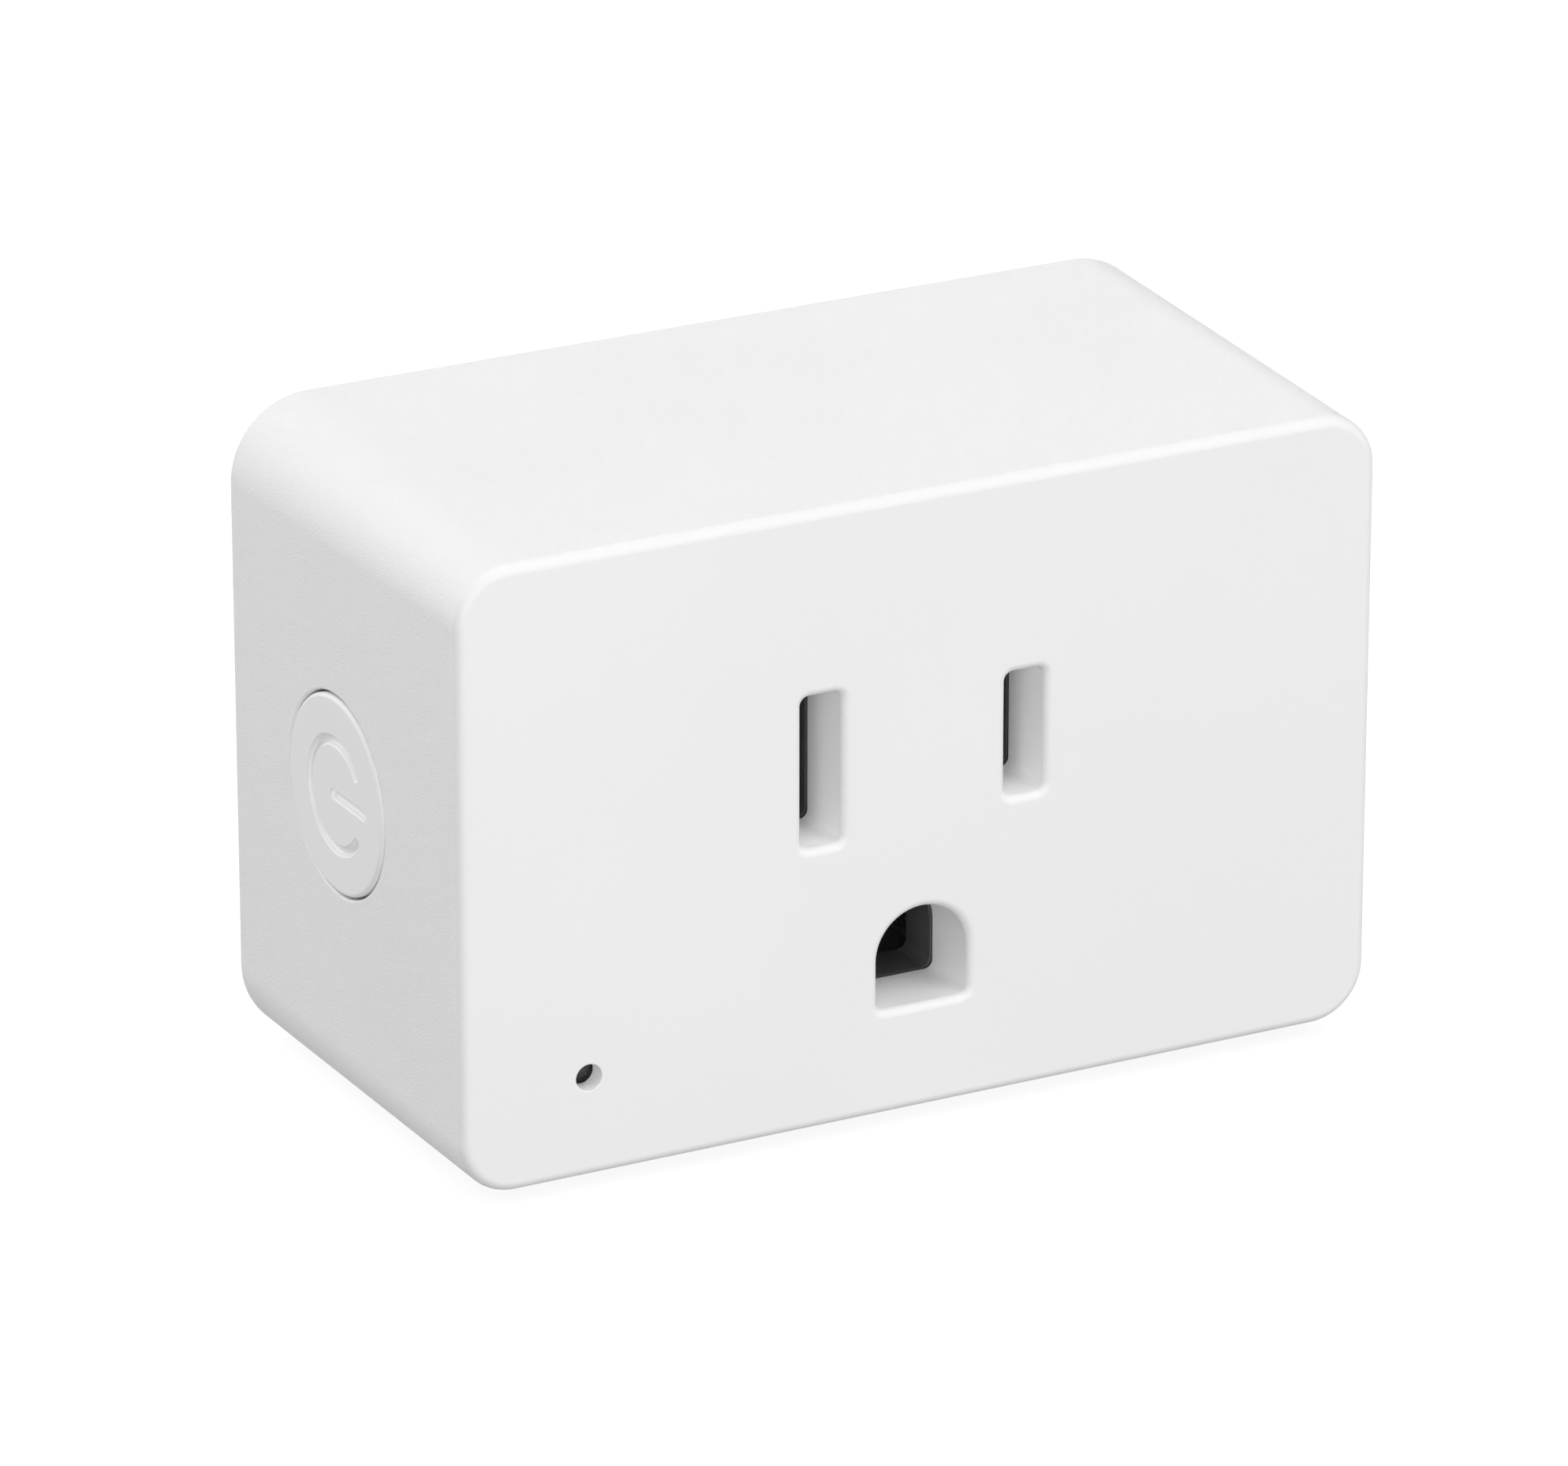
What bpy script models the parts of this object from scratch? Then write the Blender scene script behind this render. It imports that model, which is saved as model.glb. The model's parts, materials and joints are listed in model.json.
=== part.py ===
"""Smart plug for a grounded 15 A wall outlet, built as an assembly of separate pieces.

Axes: +X to the right of the outlet face, +Y towards the wall, +Z up.
Origin: the centre of the rear face, which lies against the wall outlet.
Lengths in this file are millimetres; the helpers turn them into Blender's metres.
"""

import math

import bmesh
import bpy
from mathutils import Euler, Matrix, Vector

MM = 0.001

# Body
BODY_WIDTH = 57.1  # along X, at the outlet face
BODY_HEIGHT = 36.8  # along Z, at the outlet face
BODY_DEPTH = 28.2  # from the outlet face to the rear face
SIDE_DRAFT = 0.65  # how far each side has moved out by the rear face
TOP_DRAFT = 1.0  # the same for the top and the bottom
FACE_CORNER = 3.3  # corner radius at the outlet face
REAR_CORNER = 4.8  # corner radius at the rear face
FACE_EDGE = 0.6  # rounding round the outlet face
REAR_EDGE = 0.4
SHELL = 1.8  # side wall thickness
FACE_THICKNESS = 2.2
SOCKET_DEPTH = 4.35  # length of the three openings' white walls
CORNER_STEPS = 6

# Rear cover, which drops into a rim at the back of the housing
RIM = 1.2
SEAM = 0.2
COVER_THICKNESS = 2.0
SHELF = 2.0  # wall thickness in front of the rim
SCREW_X, SCREW_Z = 24.3, 14.4
SCREW_RADIUS = 1.0
SCREW_HEAD_RADIUS = 1.9
SCREW_RECESS = 1.2
SCREW_LENGTH = 9.0
CORNERS = ((1, 1), (-1, 1), (-1, -1), (1, -1))
POST_INNER = (22.2, 12.2)  # the corner posts' sides nearest the middle, X and Z
POST_OUTER = (27.2, 17.5)  # NEMA 5-15 geometry, used by the prongs behind and by the openings in front
BLADE_Z = 3.0
BLADE_SPACING = 12.7
GROUND_Z = BLADE_Z - 11.9
BLADE_THICKNESS = 1.5
BLADE_HEIGHT = 6.3
BLADE_LENGTH = 17.5
BLADE_HOLE = (1.8, 11.9)  # radius, distance from the rear face
GROUND_PIN_RADIUS = 2.4
GROUND_PIN_LENGTH = 20.6
NEUTRAL_X = -BLADE_SPACING / 2
HOT_X = BLADE_SPACING / 2

# Openings in the outlet face: clear size inside, and how much the rounded lip adds a side
NEUTRAL_SLOT = (2.55, 9.0)
HOT_SLOT = (2.5, 7.4)
SLOT_LIP = 0.5
SLOT_CORNER = 0.5  # inside corner radius of each opening
GROUND_HOLE_RADIUS = 2.85
GROUND_HOLE_FLOOR = 2.95  # arch's centre down to the flat floor
GROUND_HOLE_Z = GROUND_Z - 0.25  # the arch's centre

# Contact carrier: black guides carry on from the openings, and lead to a pocket for each contact
CARRIER_HALF_WIDTH = 10.4
CARRIER_Z = (-13.6, 9.2)
CARRIER_Y = (-BODY_DEPTH + SOCKET_DEPTH + 0.3, -5.9)
GUIDE_LENGTH = 2.95
CONTACT_FRONT = -20.3
LED_X, LED_Z, LED_RADIUS = -20.8, -12.45, 0.78
LED_HOLE_DEPTH = 1.15
LIGHT_TUBE = (2.2, 1.35, 5.1)  # outer and inner radius, and its end behind the outlet face
LIGHT_PIPE_RADIUS = 1.15
LIGHT_PIPE_Y = (-26.8, -23.0)  # Power button in the left side
BUTTON_Y = -13.2
BUTTON_Z = 0.4
BUTTON_HOLE_RADIUS = 5.95
BUTTON_RADIUS = 5.8
BUTTON_PROUD = 0.1
BUTTON_EDGE = 0.5
BUTTON_FLANGE = 13.2
SYMBOL_RADIUS = 3.2
SYMBOL_WIDTH = 0.6
SYMBOL_DEPTH = 0.3
SYMBOL_OPENING = 38.0  # degrees each side of the bar

# Boards
BOARD_FRONT = -5.6  # front surface of the main board
BOARD_REAR = -4.0
SOLDER_Y = BOARD_FRONT - 0.15  # where parts on the main board start
CONTROL_X = (-21.9, -20.9)  # faces of the upright control board
CONTROL_FRONT = CONTROL_X[1] + 0.15

# Relay
RELAY_X = 17.4
COIL_Z = 0.2
POLE_Y = -18.5  # face of the pole that the armature closes on
HINGE_Y, HINGE_Z = -18.6, -4.9
ARMATURE_OPEN = 4.0  # degrees away from the pole at rest
CONTACT_Z = 8.3


# ---------------------------------------------------------------- scene set-up


def clear_scene():
    for item in list(bpy.data.objects):
        bpy.data.objects.remove(item, do_unlink=True)


def new_collection(name):
    made = bpy.data.collections.new(name)
    bpy.context.scene.collection.children.link(made)
    return made


def new_material(name, color, roughness=0.5, metallic=0.0):
    made = bpy.data.materials.new(name)
    made.use_nodes = True
    made.diffuse_color = (*color, 1.0)
    shader = made.node_tree.nodes["Principled BSDF"]
    shader.inputs["Base Color"].default_value = (*color, 1.0)
    shader.inputs["Roughness"].default_value = roughness
    shader.inputs["Metallic"].default_value = metallic
    return made


clear_scene()
PARTS = new_collection("smart_plug")
CUTTERS = new_collection("cutters")

WHITE_SHELL = new_material("white_shell", (0.86, 0.86, 0.86), 0.5)
WHITE_BUTTON = new_material("white_button", (0.84, 0.84, 0.84), 0.45)
CARRIER_PLASTIC = new_material("carrier_plastic", (0.05, 0.05, 0.055), 0.6)
CLEAR_PLASTIC = new_material("clear_plastic", (0.75, 0.78, 0.8), 0.15)
LED_BODY = new_material("led_body", (0.85, 0.84, 0.7), 0.4)
NICKEL_BRASS = new_material("nickel_brass", (0.72, 0.68, 0.58), 0.3, 1.0)
COPPER_ALLOY = new_material("copper_alloy", (0.72, 0.42, 0.22), 0.35, 1.0)
SCREW_STEEL = new_material("screw_steel", (0.45, 0.45, 0.46), 0.35, 1.0)
SOFT_IRON = new_material("soft_iron", (0.5, 0.5, 0.5), 0.45, 1.0)
SILVER_CONTACT = new_material("silver_contact", (0.85, 0.84, 0.8), 0.25, 1.0)
TINNED_SHIELD = new_material("tinned_shield", (0.68, 0.69, 0.7), 0.35, 1.0)
GREEN_BOARD = new_material("green_board", (0.02, 0.16, 0.06), 0.4)
BLUE_BOARD = new_material("blue_board", (0.02, 0.06, 0.2), 0.4)
RELAY_PLASTIC = new_material("relay_plastic", (0.03, 0.03, 0.035), 0.45)
BOBBIN_PLASTIC = new_material("bobbin_plastic", (0.7, 0.68, 0.6), 0.5)
COIL_WIRE = new_material("coil_wire", (0.45, 0.12, 0.04), 0.3, 0.8)
BLACK_PLASTIC = new_material("black_plastic", (0.03, 0.03, 0.03), 0.5)
CAPACITOR_SLEEVE = new_material("capacitor_sleeve", (0.04, 0.05, 0.09), 0.3)
YELLOW_EPOXY = new_material("yellow_epoxy", (0.75, 0.55, 0.08), 0.45)
BLUE_EPOXY = new_material("blue_epoxy", (0.03, 0.12, 0.45), 0.4)
RESISTOR_COAT = new_material("resistor_coat", (0.35, 0.5, 0.42), 0.5)
FERRITE = new_material("ferrite", (0.08, 0.08, 0.085), 0.6)


# ---------------------------------------------------------------- shape helpers


def link(name, mesh, material, location=(0.0, 0.0, 0.0), rotation=None):
    """A new object in the parts collection. location is in millimetres."""
    made = bpy.data.objects.new(name, mesh)
    made.location = Vector(location) * MM
    if rotation is not None:
        made.rotation_euler = rotation
    if material is not None:
        mesh.materials.append(material)
    PARTS.objects.link(made)
    return made


def smooth(item, degrees=30.0):
    item.data.shade_smooth()
    item.data.set_sharp_from_angle(angle=math.radians(degrees))
    return item


def bevel(item, width, segments=1, degrees=30.0):
    made = item.modifiers.new("Bevel", "BEVEL")
    made.width = width * MM
    made.segments = segments
    made.limit_method = "ANGLE"
    made.angle_limit = math.radians(degrees)
    return item


def combine(item, tool, operation="DIFFERENCE"):
    """Adds a Boolean, and moves its tool to the cutters."""
    made = item.modifiers.new(operation.title(), "BOOLEAN")
    made.operation = operation
    made.solver = "EXACT"
    made.object = tool
    if tool.name in PARTS.objects:
        PARTS.objects.unlink(tool)
        CUTTERS.objects.link(tool)
    tool.hide_render = True
    tool.display_type = "WIRE"
    return item


def rotation_to(direction):
    """The rotation that turns +Z to direction."""
    return Vector(direction).to_track_quat("Z", "Y").to_euler()


def block(name, material, low, high, edge=0.0):
    """A box between two corners."""
    low, high = Vector(low), Vector(high)
    shape = bmesh.new()
    bmesh.ops.create_cube(shape, size=1.0)
    bmesh.ops.scale(shape, vec=(high - low) * MM, verts=shape.verts)
    mesh = bpy.data.meshes.new(name)
    shape.to_mesh(mesh)
    shape.free()
    made = link(name, mesh, material, (low + high) / 2)
    if edge:
        bevel(made, edge)
    return made


def rod(name, material, radius, start, end, sides=16):
    """A cylinder between two points."""
    start, end = Vector(start), Vector(end)
    shape = bmesh.new()
    bmesh.ops.create_cone(
        shape,
        cap_ends=True,
        segments=sides,
        radius1=radius * MM,
        radius2=radius * MM,
        depth=(end - start).length * MM,
    )
    mesh = bpy.data.meshes.new(name)
    shape.to_mesh(mesh)
    shape.free()
    made = link(name, mesh, material, (start + end) / 2, rotation_to(end - start))
    return smooth(made)


def turned(name, material, profile, location, direction, steps=20, ring=False):
    """A turned piece. profile lists (radius, height) down its outer side; a ring's is closed."""
    shape = bmesh.new()
    points = [shape.verts.new((radius * MM, 0.0, height * MM)) for radius, height in profile]
    for first, second in zip(points, points[1:]):
        shape.edges.new((first, second))
    if ring:
        shape.edges.new((points[-1], points[0]))
    mesh = bpy.data.meshes.new(name)
    shape.to_mesh(mesh)
    shape.free()
    made = link(name, mesh, material, location, rotation_to(direction))
    screw = made.modifiers.new("Screw", "SCREW")
    screw.axis = "Z"
    screw.steps = steps
    screw.render_steps = steps
    screw.use_merge_vertices = True
    screw.merge_threshold = 0.00001
    screw.use_smooth_shade = True
    return made


def ribbon(name, material, path, width, thickness, place, edge=0.0):
    """A bent strip: path is a list of points in a plane, and place turns (a, b, across) to XYZ."""
    shape = bmesh.new()
    rows = []
    for across in (-width / 2, width / 2):
        rows.append([shape.verts.new(Vector(place(a, b, across)) * MM) for a, b in path])
    for index in range(len(path) - 1):
        shape.faces.new(
            (rows[0][index], rows[0][index + 1], rows[1][index + 1], rows[1][index])
        )
    mesh = bpy.data.meshes.new(name)
    shape.to_mesh(mesh)
    shape.free()
    made = link(name, mesh, material)
    solid = made.modifiers.new("Solidify", "SOLIDIFY")
    solid.thickness = thickness * MM
    solid.offset = 0.0
    solid.use_even_offset = True
    if edge:
        bevel(made, edge)
    return made


def loft(name, material, rings, sharp=30.0):
    """A closed body through rings of equally many points, with a flat cap at each end."""
    shape = bmesh.new()
    rows = [[shape.verts.new(Vector(point) * MM) for point in ring] for ring in rings]
    for first, second in zip(rows, rows[1:]):
        count = len(first)
        for index in range(count):
            after = (index + 1) % count
            shape.faces.new((first[index], first[after], second[after], second[index]))
    shape.faces.new(rows[0])
    shape.faces.new(rows[-1])
    bmesh.ops.recalc_face_normals(shape, faces=shape.faces)
    mesh = bpy.data.meshes.new(name)
    shape.to_mesh(mesh)
    shape.free()
    return smooth(link(name, mesh, material), sharp)


def plate(name, material, outlines, thickness, location, rotation):
    """A flat piece from a 2D curve: the first outline is its edge and the rest are holes."""
    curve = bpy.data.curves.new(name, "CURVE")
    curve.dimensions = "2D"
    curve.fill_mode = "BOTH"
    curve.extrude = thickness / 2 * MM
    for outline in outlines:
        spline = curve.splines.new("POLY")
        spline.points.add(len(outline) - 1)
        for point, (x, y) in zip(spline.points, outline):
            point.co = (x * MM, y * MM, 0.0, 1.0)
        spline.use_cyclic_u = True
    drawn = bpy.data.objects.new(name + "_curve", curve)
    bpy.context.scene.collection.objects.link(drawn)
    bpy.context.view_layer.update()
    graph = bpy.context.evaluated_depsgraph_get()
    mesh = bpy.data.meshes.new_from_object(drawn.evaluated_get(graph))
    bpy.data.objects.remove(drawn, do_unlink=True)
    shape = bmesh.new()
    shape.from_mesh(mesh)
    bmesh.ops.remove_doubles(shape, verts=shape.verts, dist=0.000001)
    bmesh.ops.recalc_face_normals(shape, faces=shape.faces)
    shape.to_mesh(mesh)
    shape.free()
    mesh.name = name
    return smooth(link(name, mesh, material, location, rotation))


# ---------------------------------------------------------------- outlines


def arc(centre, radius, start, end, steps):
    """Points on an arc, both ends included. Angles in degrees."""
    found = []
    for step in range(steps + 1):
        angle = math.radians(start + (end - start) * step / steps)
        found.append(
            (centre[0] + radius * math.cos(angle), centre[1] + radius * math.sin(angle))
        )
    return found


def rounded_rectangle(width, height, radius, steps=CORNER_STEPS):
    across, up = width / 2 - radius, height / 2 - radius
    found = []
    for x, z, start in ((across, up, 0), (-across, up, 90), (-across, -up, 180), (across, -up, 270)):
        found += arc((x, z), radius, start, start + 90, steps)
    return found


def arch(radius, floor, corner, steps=8):
    """The ground opening: a half circle above, and a flat floor with small corners below."""
    found = arc((0, 0), radius, 0, 180, steps)
    found += arc((-radius + corner, -floor + corner), corner, 180, 270, 2)
    found += arc((radius - corner, -floor + corner), corner, 270, 360, 2)
    return found


def stroke(path, width, steps=4):
    """The outline of a line of this width along path, with round ends."""
    half = width / 2
    points = [Vector(point) for point in path]
    left, right = [], []
    for index, point in enumerate(points):
        before = points[max(index - 1, 0)]
        after = points[min(index + 1, len(points) - 1)]
        along = (after - before).normalized()
        side = Vector((-along.y, along.x)) * half
        left.append(tuple(point + side))
        right.append(tuple(point - side))
    first = math.degrees(math.atan2(*(points[1] - points[0]).yx))
    last = math.degrees(math.atan2(*(points[-1] - points[-2]).yx))
    end = arc(points[-1], half, last - 90, last + 90, steps)[1:-1]
    start = arc(points[0], half, first + 90, first + 270, steps)[1:-1]
    return right + end + left[::-1] + start


def at_depth(outline, y):
    """An outline in X and Z, placed at this depth."""
    return [(x, y, z) for x, z in outline]


def shifted(outline, x, z):
    return [(px + x, pz + z) for px, pz in outline]


def body_share(y):
    """0 at the outlet face, 1 at the rear face."""
    return (y + BODY_DEPTH) / BODY_DEPTH


def side_x(y):
    """X of the left side's outer surface at this depth."""
    return -(BODY_WIDTH / 2 + SIDE_DRAFT * body_share(y))


def body_section(y, inset):
    """The body's outline at depth y, moved in from the outer surface by inset."""
    share = body_share(y)
    width = BODY_WIDTH + 2 * SIDE_DRAFT * share - 2 * inset
    height = BODY_HEIGHT + 2 * TOP_DRAFT * share - 2 * inset
    radius = FACE_CORNER + (REAR_CORNER - FACE_CORNER) * share - inset
    return at_depth(rounded_rectangle(width, height, max(radius, 0.6)), y)


# ---------------------------------------------------------------- housing


def opening_cutter(name, grow, x, z):
    """A cutter for an opening in the outlet face. grow gives the outline with this lip width."""
    face = -BODY_DEPTH
    rings = [at_depth(shifted(grow(SLOT_LIP), x, z), face - 1.0)]
    for angle in (0, 30, 60, 90):
        lip = SLOT_LIP * (1 - math.sin(math.radians(angle)))
        deep = SLOT_LIP * (1 - math.cos(math.radians(angle)))
        rings.append(at_depth(shifted(grow(lip), x, z), face + deep))
    rings.append(at_depth(shifted(grow(0.0), x, z), face + SOCKET_DEPTH + 1.0))
    return loft(name, None, rings)


def slot_outline(size):
    def grow(lip):
        corner = SLOT_CORNER + lip
        return rounded_rectangle(size[0] + 2 * lip, size[1] + 2 * lip, corner, 2)

    return grow


def ground_outline(lip):
    corner = SLOT_CORNER + lip
    return arch(GROUND_HOLE_RADIUS + lip, GROUND_HOLE_FLOOR + lip, corner)


def openings():
    """Each opening's name, outline and place."""
    return (
        ("neutral", slot_outline(NEUTRAL_SLOT), NEUTRAL_X, BLADE_Z),
        ("hot", slot_outline(HOT_SLOT), HOT_X, BLADE_Z),
        ("ground", ground_outline, 0.0, GROUND_HOLE_Z),
    )


def cut_outlet_openings(housing):
    face = -BODY_DEPTH
    for name, grow, x, z in openings():
        combine(housing, opening_cutter(f"cut_{name}", grow, x, z))
    front, step, end = face - 1.0, face + LED_HOLE_DEPTH, face + LIGHT_TUBE[2] + 1.0
    hole = rod("cut_led", None, LED_RADIUS, (LED_X, front, LED_Z), (LED_X, end, LED_Z))
    combine(housing, hole)
    bore = rod("cut_pipe", None, LIGHT_TUBE[1], (LED_X, step, LED_Z), (LED_X, end, LED_Z))
    combine(housing, bore)


def add_screw_posts(housing):
    """A square post in each corner, from the face to the rear cover, with a pilot hole."""
    front, back = -BODY_DEPTH + FACE_THICKNESS - 0.3, -COVER_THICKNESS - SEAM
    for index, (sx, sz) in enumerate(CORNERS, 1):
        xs = sorted((sx * POST_INNER[0], sx * POST_OUTER[0]))
        zs = sorted((sz * POST_INNER[1], sz * POST_OUTER[1]))
        post = block(f"post_{index}", None, (xs[0], front, zs[0]), (xs[1], back, zs[1]))
        combine(housing, post, "UNION")
    for index, (sx, sz) in enumerate(CORNERS, 1):
        x, z = sx * SCREW_X, sz * SCREW_Z
        pilot = rod(f"pilot_{index}", None, SCREW_RADIUS + 0.2, (x, -12.0, z), (x, 1.0, z), 12)
        combine(housing, pilot)


def front_housing():
    face = -BODY_DEPTH
    shelf = -COVER_THICKNESS - SEAM
    rings = [
        body_section(face + FACE_THICKNESS, SHELL),
        body_section(shelf, SHELF),
        body_section(shelf, RIM),
        body_section(0.0, RIM),
        body_section(0.0, REAR_EDGE),
        body_section(-0.3 * REAR_EDGE, 0.3 * REAR_EDGE),
        body_section(-REAR_EDGE, 0.0),
    ]
    for angle in (0, 22.5, 45, 67.5, 90):
        inset = FACE_EDGE * (1 - math.cos(math.radians(angle)))
        depth = FACE_EDGE * (1 - math.sin(math.radians(angle)))
        rings.append(body_section(face + depth, inset))
    housing = loft("front_housing", WHITE_SHELL, rings, 40.0)

    inner_face = face + FACE_THICKNESS - 0.3
    socket = block(
        "socket_block",
        None,
        (-CARRIER_HALF_WIDTH, inner_face, CARRIER_Z[0]),
        (CARRIER_HALF_WIDTH, face + SOCKET_DEPTH, CARRIER_Z[1]),
    )
    combine(housing, socket, "UNION")
    tube_end = face + LIGHT_TUBE[2]
    tube = rod("led_tube", None, LIGHT_TUBE[0], (LED_X, inner_face, LED_Z), (LED_X, tube_end, LED_Z))
    combine(housing, tube, "UNION")
    half = BUTTON_FLANGE / 2 + 0.25
    for sign, name in ((1, "rib_above"), (-1, "rib_below")):
        zs = sorted((BUTTON_Z + sign * half, BUTTON_Z + sign * (half + 0.8)))
        rib = block(name, None, (-27.6, -19.0, zs[0]), (-24.9, -7.5, zs[1]))
        combine(housing, rib, "UNION")
    add_screw_posts(housing)
    cut_outlet_openings(housing)
    button_hole = rod(
        "cut_button",
        None,
        BUTTON_HOLE_RADIUS,
        (-31.0, BUTTON_Y, BUTTON_Z),
        (-25.5, BUTTON_Y, BUTTON_Z),
        40,
    )
    combine(housing, button_hole)


def rear_cover():
    edge = 0.25
    inset = RIM + SEAM
    cover = loft(
        "rear_cover",
        WHITE_SHELL,
        [
            body_section(-COVER_THICKNESS, inset),
            body_section(-edge, inset),
            body_section(0.0, inset + edge),
        ],
    )
    thick, tall = BLADE_THICKNESS / 2 + 0.2, BLADE_HEIGHT / 2 + 0.2
    for name, x in (("neutral", NEUTRAL_X), ("hot", HOT_X)):
        slot = block(
            f"cut_{name}_blade",
            None,
            (x - thick, -5.0, BLADE_Z - tall),
            (x + thick, 1.0, BLADE_Z + tall),
        )
        combine(cover, slot)
    pin = rod(
        "cut_pin", None, GROUND_PIN_RADIUS + 0.2, (0, -5, GROUND_Z), (0, 1, GROUND_Z), 20
    )
    combine(cover, pin)
    for index, (sx, sz) in enumerate(CORNERS, 1):
        x, z = sx * SCREW_X, sz * SCREW_Z
        through = rod(f"cut_screw_{index}", None, SCREW_RADIUS + 0.2, (x, -5, z), (x, 1, z), 12)
        combine(cover, through)
        recess = rod(
            f"cut_head_{index}", None, SCREW_HEAD_RADIUS + 0.3, (x, -SCREW_RECESS, z), (x, 1, z), 16
        )
        combine(cover, recess)


def cover_screws():
    """Pan-head screws, turned as plain shanks, with a three-winged drive recess."""
    head, seat = -0.35, -SCREW_RECESS + 0.1
    tip = head - SCREW_LENGTH
    for index, (sx, sz) in enumerate(CORNERS, 1):
        x, z = sx * SCREW_X, sz * SCREW_Z
        profile = [
            (0.0, head),
            (SCREW_HEAD_RADIUS - 0.3, head),
            (SCREW_HEAD_RADIUS, head - 0.3),
            (SCREW_HEAD_RADIUS, seat),
            (SCREW_RADIUS, seat),
            (SCREW_RADIUS, tip + 0.8),
            (0.3, tip),
            (0.0, tip),
        ]
        screw = turned(
            f"cover_screw_{index}", SCREW_STEEL, profile, (x, 0, z), (0, 1, 0), steps=16
        )
        for wing in range(3):
            turn = math.radians(120 * wing)
            end = (x + 1.1 * math.cos(turn), z + 1.1 * math.sin(turn))
            outline = stroke([(x, z), end], 0.42, 2)
            cutter = plate(
                f"cut_wing_{index}_{wing}",
                None,
                [[(px, -pz) for px, pz in outline]],
                0.6,
                (0, head, 0),
                Euler((math.radians(-90), 0, 0)),
            )
            combine(screw, cutter)


# ---------------------------------------------------------------- prongs and contacts


def blade_outline(tail_end):
    """The blade from the side: across the slot, and out from the rear face."""
    half, tip = BLADE_HEIGHT / 2, BLADE_LENGTH
    shoulder, neck = 4.4, 2.0
    right = [(neck, tail_end), (neck, -3.7), (shoulder, -3.7), (shoulder, -2.3), (half, -2.3)]
    right += arc((half - 1.4, tip - 1.4), 1.4, 0, 90, 3)
    return right + [(-across, out) for across, out in reversed(right)]


def blade(name, x, tail_end):
    """A flat blade with its plane upright: the outline's width stands along Z."""
    radius, distance = BLADE_HOLE
    hole = arc((0, distance), radius, 0, 360, 14)[:-1]
    made = plate(
        name,
        NICKEL_BRASS,
        [blade_outline(tail_end), hole],
        BLADE_THICKNESS,
        (x, 0, BLADE_Z),
        Euler((0, math.radians(90), 0)),
    )
    bevel(made, 0.25)


def prongs():
    blade("neutral_blade", NEUTRAL_X, -7.4)
    blade("hot_blade", HOT_X, -6.2)
    radius, tip = GROUND_PIN_RADIUS, GROUND_PIN_LENGTH
    profile = [(r, tip - radius + h) for r, h in arc((0, 0), radius, 90, 0, 5)]
    profile += [
        (radius, -2.3),
        (3.6, -2.3),
        (3.6, -3.5),
        (1.4, -3.5),
        (1.4, -7.3),
        (0.0, -7.3),
    ]
    turned("ground_pin", NICKEL_BRASS, profile, (0, 0, GROUND_Z), (0, 1, 0))


def spring_contact(name, material, x, z, spread, thickness, height, tab):
    """A U-shaped female contact: two leaves along Y with flared mouths, joined at the back."""
    mouth, pinch, body = spread
    side = [(mouth, CONTACT_FRONT), (pinch, -18.2), (body, -14.0), (body, -8.0)]
    path = side + [(-across, y) for across, y in reversed(side)]
    made = ribbon(
        name,
        material,
        path,
        height,
        thickness,
        lambda a, b, across: (x + a, b, z + across),
    )
    if tab is not None:
        foot = block(
            name + "_tab", None, (x - 0.4, -8.1, z + tab[0]), (x + 0.4, SOLDER_Y, z + tab[1])
        )
        combine(made, foot, "UNION")


def contact_carrier():
    """A black block with a guide behind each opening, and a pocket for each contact."""
    half = CARRIER_HALF_WIDTH
    front, back = CARRIER_Y
    carrier = block(
        "contact_carrier",
        CARRIER_PLASTIC,
        (-half, front, CARRIER_Z[0]),
        (half, back, CARRIER_Z[1]),
        0.3,
    )
    pocket_sizes = {"neutral": (2.7, 5.2), "hot": (2.7, 5.2), "ground": (4.2, 3.8)}
    for name, grow, x, z in openings():
        guide_end = front + GUIDE_LENGTH
        outline = shifted(grow(0.0), x, z)
        rings = [at_depth(outline, y) for y in (front - 1.0, guide_end + 1.0)]
        combine(carrier, loft(f"cut_{name}_guide", None, rings))
        across, up = pocket_sizes[name]
        middle = GROUND_Z if name == "ground" else z
        pocket = block(
            f"cut_{name}_pocket",
            None,
            (x - across, guide_end, middle - up),
            (x + across, back + 1.0, middle + up),
        )
        combine(carrier, pocket)


def contacts():
    blade_spread = (2.1, 1.0, 1.5)
    spring_contact(
        "neutral_contact", COPPER_ALLOY, NEUTRAL_X, BLADE_Z, blade_spread, 0.5, 6.8, None
    )
    spring_contact(
        "hot_contact", COPPER_ALLOY, HOT_X, BLADE_Z, blade_spread, 0.5, 6.8, (2.5, 3.3)
    )
    spring_contact("ground_contact", NICKEL_BRASS, 0.0, GROUND_Z, (3.5, 2.7, 3.0), 0.6, 4.6, None)
    contact_carrier()


# ---------------------------------------------------------------- button and its switch


def power_symbol_cutters():
    """An arc open towards the outlet face, and a bar that starts near its centre."""
    opening = SYMBOL_OPENING
    ring = arc((0, 0), SYMBOL_RADIUS, 180 + opening, 540 - opening, 18)
    bar = [(0.3, 0.0), (-3.5, 0.0)]
    found = []
    for name, path in (("arc", ring), ("bar", bar)):
        found.append(
            plate(
                f"cut_symbol_{name}",
                None,
                [stroke(path, SYMBOL_WIDTH)],
                2 * SYMBOL_DEPTH,
                (side_x(BUTTON_Y) - BUTTON_PROUD, BUTTON_Y, BUTTON_Z),
                Matrix(((0, 0, -1), (1, 0, 0), (0, -1, 0))).to_euler(),
            )
        )
    return found


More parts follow.
